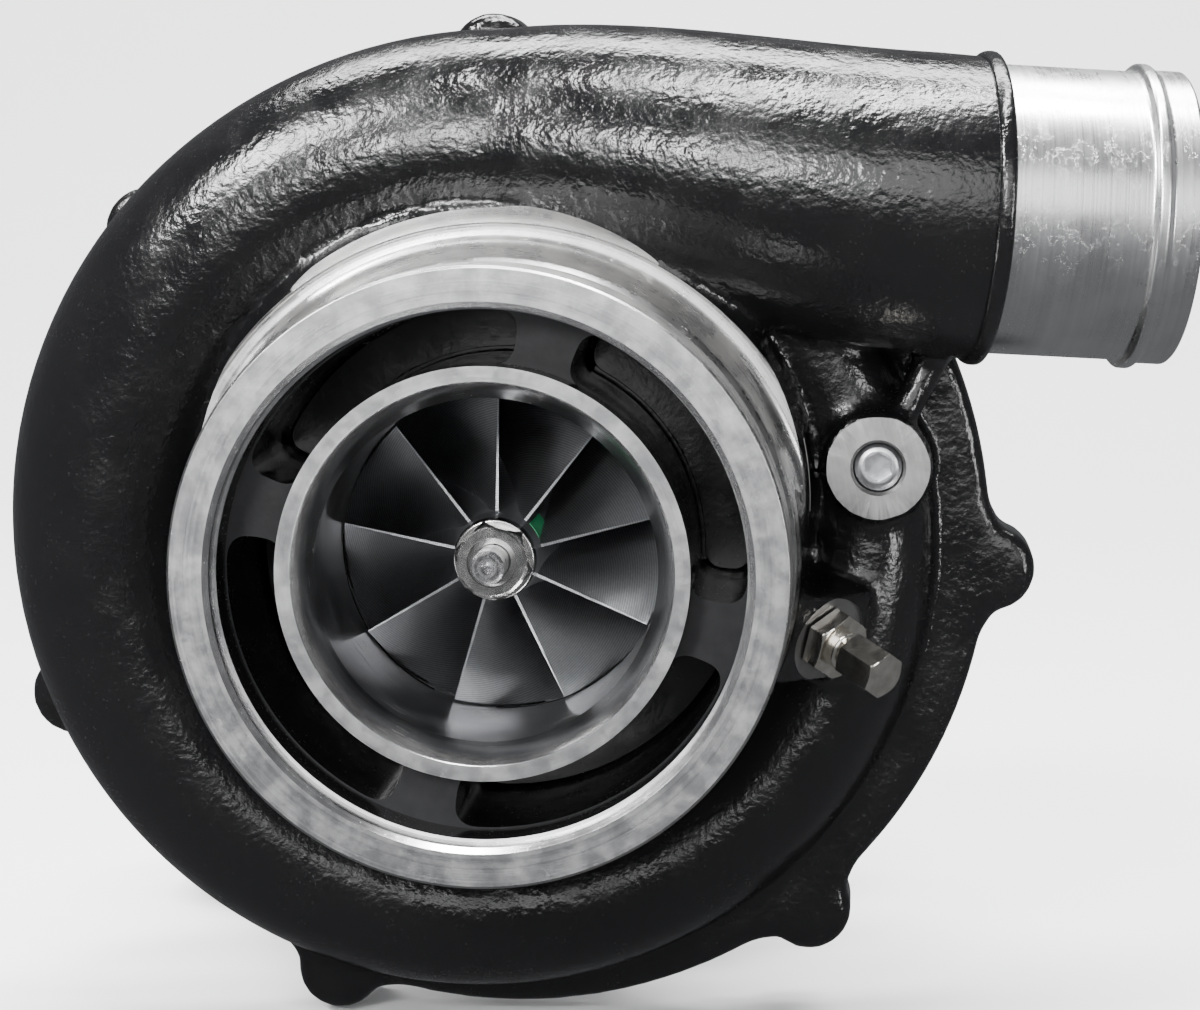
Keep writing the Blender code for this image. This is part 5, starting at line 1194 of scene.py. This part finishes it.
def make_v_band():
    front, back = V_BAND_Y
    outline = [
        (44.8, front, 0.4), (47.4, front + 2, 0.3), (47.4, back - 2, 0.3), (44.8, back, 0.4),
        (45.6, back + 0.6, 0.4), (48.6, back - 1.2, 0.6), (48.9, back - 2.2, 0.5), (48.9, front + 2.2, 0.5),
        (48.6, front + 1.2, 0.6), (45.6, front - 0.6, 0.4),
    ]
    band = solid("v_band_strap", lathe(eased(outline), 200, 37, 346), ZINC)
    piece(band, stands_for=("v_band_clamp",))
    middle = 0.5 * (front + back)
    for index, side in enumerate((-1, 1)):
        turn = Matrix.Rotation(radians(-30), 4, "Y")
        ear = solid_block(Vector((54, middle, side * 5.6)), (6.4, 4.6, 0.9), turn)
        ear = solid(f"v_band_ear_{index + 1}", ear, ZINC)
        round_edges(ear, 0.7)
        piece(ear)


def dress_hidden_nodes():
    """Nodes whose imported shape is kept, each with its finish."""
    screws = tuple(f"seal_plate_screw_{i}" for i in range(1, 5))
    for finish, names in (
        (GROUND, ("bearing_sleeve", "front_inner_race", "rear_inner_race", "front_ball_set",
                  "rear_ball_set", "thrust_spacer", "rotor_shaft")),
        (IRON, ("compressor_seal_ring", "turbine_seal_ring")),
        (ZINC, ("bearing_retainer", "v_band_bolt", "v_band_nut", *screws)),
        (ALLOY, ("heat_shield",)),
        (GASKET, ("oil_drain_gasket",)),
        (RUBBER, ("cover_o_ring", "housing_o_ring")),
        (FLANGE_FACE, ("seal_plate",)),
    ):
        for name in names:
            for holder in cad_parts[name].material_slots:
                holder.material = finish


# Studio


def make_studio():
    low, high = CAD_BOX
    floor_z = low[2]
    middle = Vector((0.5 * (low[0] + high[0]), 0.5 * (low[1] + high[1]), floor_z))
    half, rise, bend = 3, 2.6, 0.9
    back = middle.y + 1.6
    profile = [(-half + middle.y, 0), (back - bend, 0)]
    profile += [
        (back - bend + bend * sin(a), bend - bend * cos(a))
        for a in (0.5 * pi * i / 16 for i in range(1, 17))
    ]
    profile.append((back, rise))
    bm = bmesh.new()
    rows = [[bm.verts.new((middle.x + x, y, floor_z + z)) for y, z in profile] for x in (-half, half)]
    for i in range(len(profile) - 1):
        bm.faces.new((rows[0][i], rows[0][i + 1], rows[1][i + 1], rows[1][i]))
    sweep = solid("studio_sweep", bm, studio_paper())
    sweep.data.shade_smooth()
    sweep.visible_glossy = False
    for name, offset, size, power in (
        ("key_softbox", (-0.75, -0.62, 0.85), (0.45, 0.34), 34),
        ("top_strip", (0.1, -0.1, 1.05), (0.8, 0.16), 30),
        ("right_strip", (0.9, -0.75, 0.12), (0.16, 0.5), 5),
        ("front_panel", (0.1, -2.2, 0.75), (1.9, 1.3), 28),
        ("back_wash", (0, 0.75, 1.5), (1.8, 0.5), 75),
        ("wheel_lamp", (-0.3, -1.1, 0.42), (0.22, 0.22), 10),
    ):
        light = bpy.data.lights.new(name, "AREA")
        light.shape = "RECTANGLE"
        light.size, light.size_y = size
        light.energy = power
        lamp = bpy.data.objects.new(name, light)
        lamp.location = AXIS + Vector(offset)
        lamp.rotation_euler = (AXIS - lamp.location).to_track_quat("-Z", "Y").to_euler()
        link(lamp)
    world = bpy.data.worlds.new("studio_air")
    world.use_nodes = True
    air = world.node_tree.nodes["Background"].inputs
    air["Color"].default_value = (0.95, 0.97, 1, 1)
    air["Strength"].default_value = 0.16
    bpy.context.scene.world = world


def make_camera():
    yaw, pitch = radians(CAMERA_YAW), radians(CAMERA_PITCH)
    ahead = Vector((-sin(yaw) * cos(pitch), cos(yaw) * cos(pitch), -sin(pitch)))
    camera = bpy.data.cameras.new("studio_camera")
    camera.lens = CAMERA_LENS
    camera.sensor_width = CAMERA_SENSOR
    holder = bpy.data.objects.new("studio_camera", camera)
    holder.location = AXIS + CAMERA_AT * MM
    holder.rotation_euler = ahead.to_track_quat("-Z", "Y").to_euler()
    link(holder)
    bpy.context.scene.camera = holder


make_cover()
make_outlet_pipe()
make_speed_plug()
make_boost_fitting()
make_clamps_and_bolts()
make_compressor_wheel()
make_nut_and_shaft()
make_centre_housing()
make_oil_and_coolant()
make_turbine_housing()
make_turbine_wheel()
make_v_band()
dress_hidden_nodes()
make_studio()
make_camera()
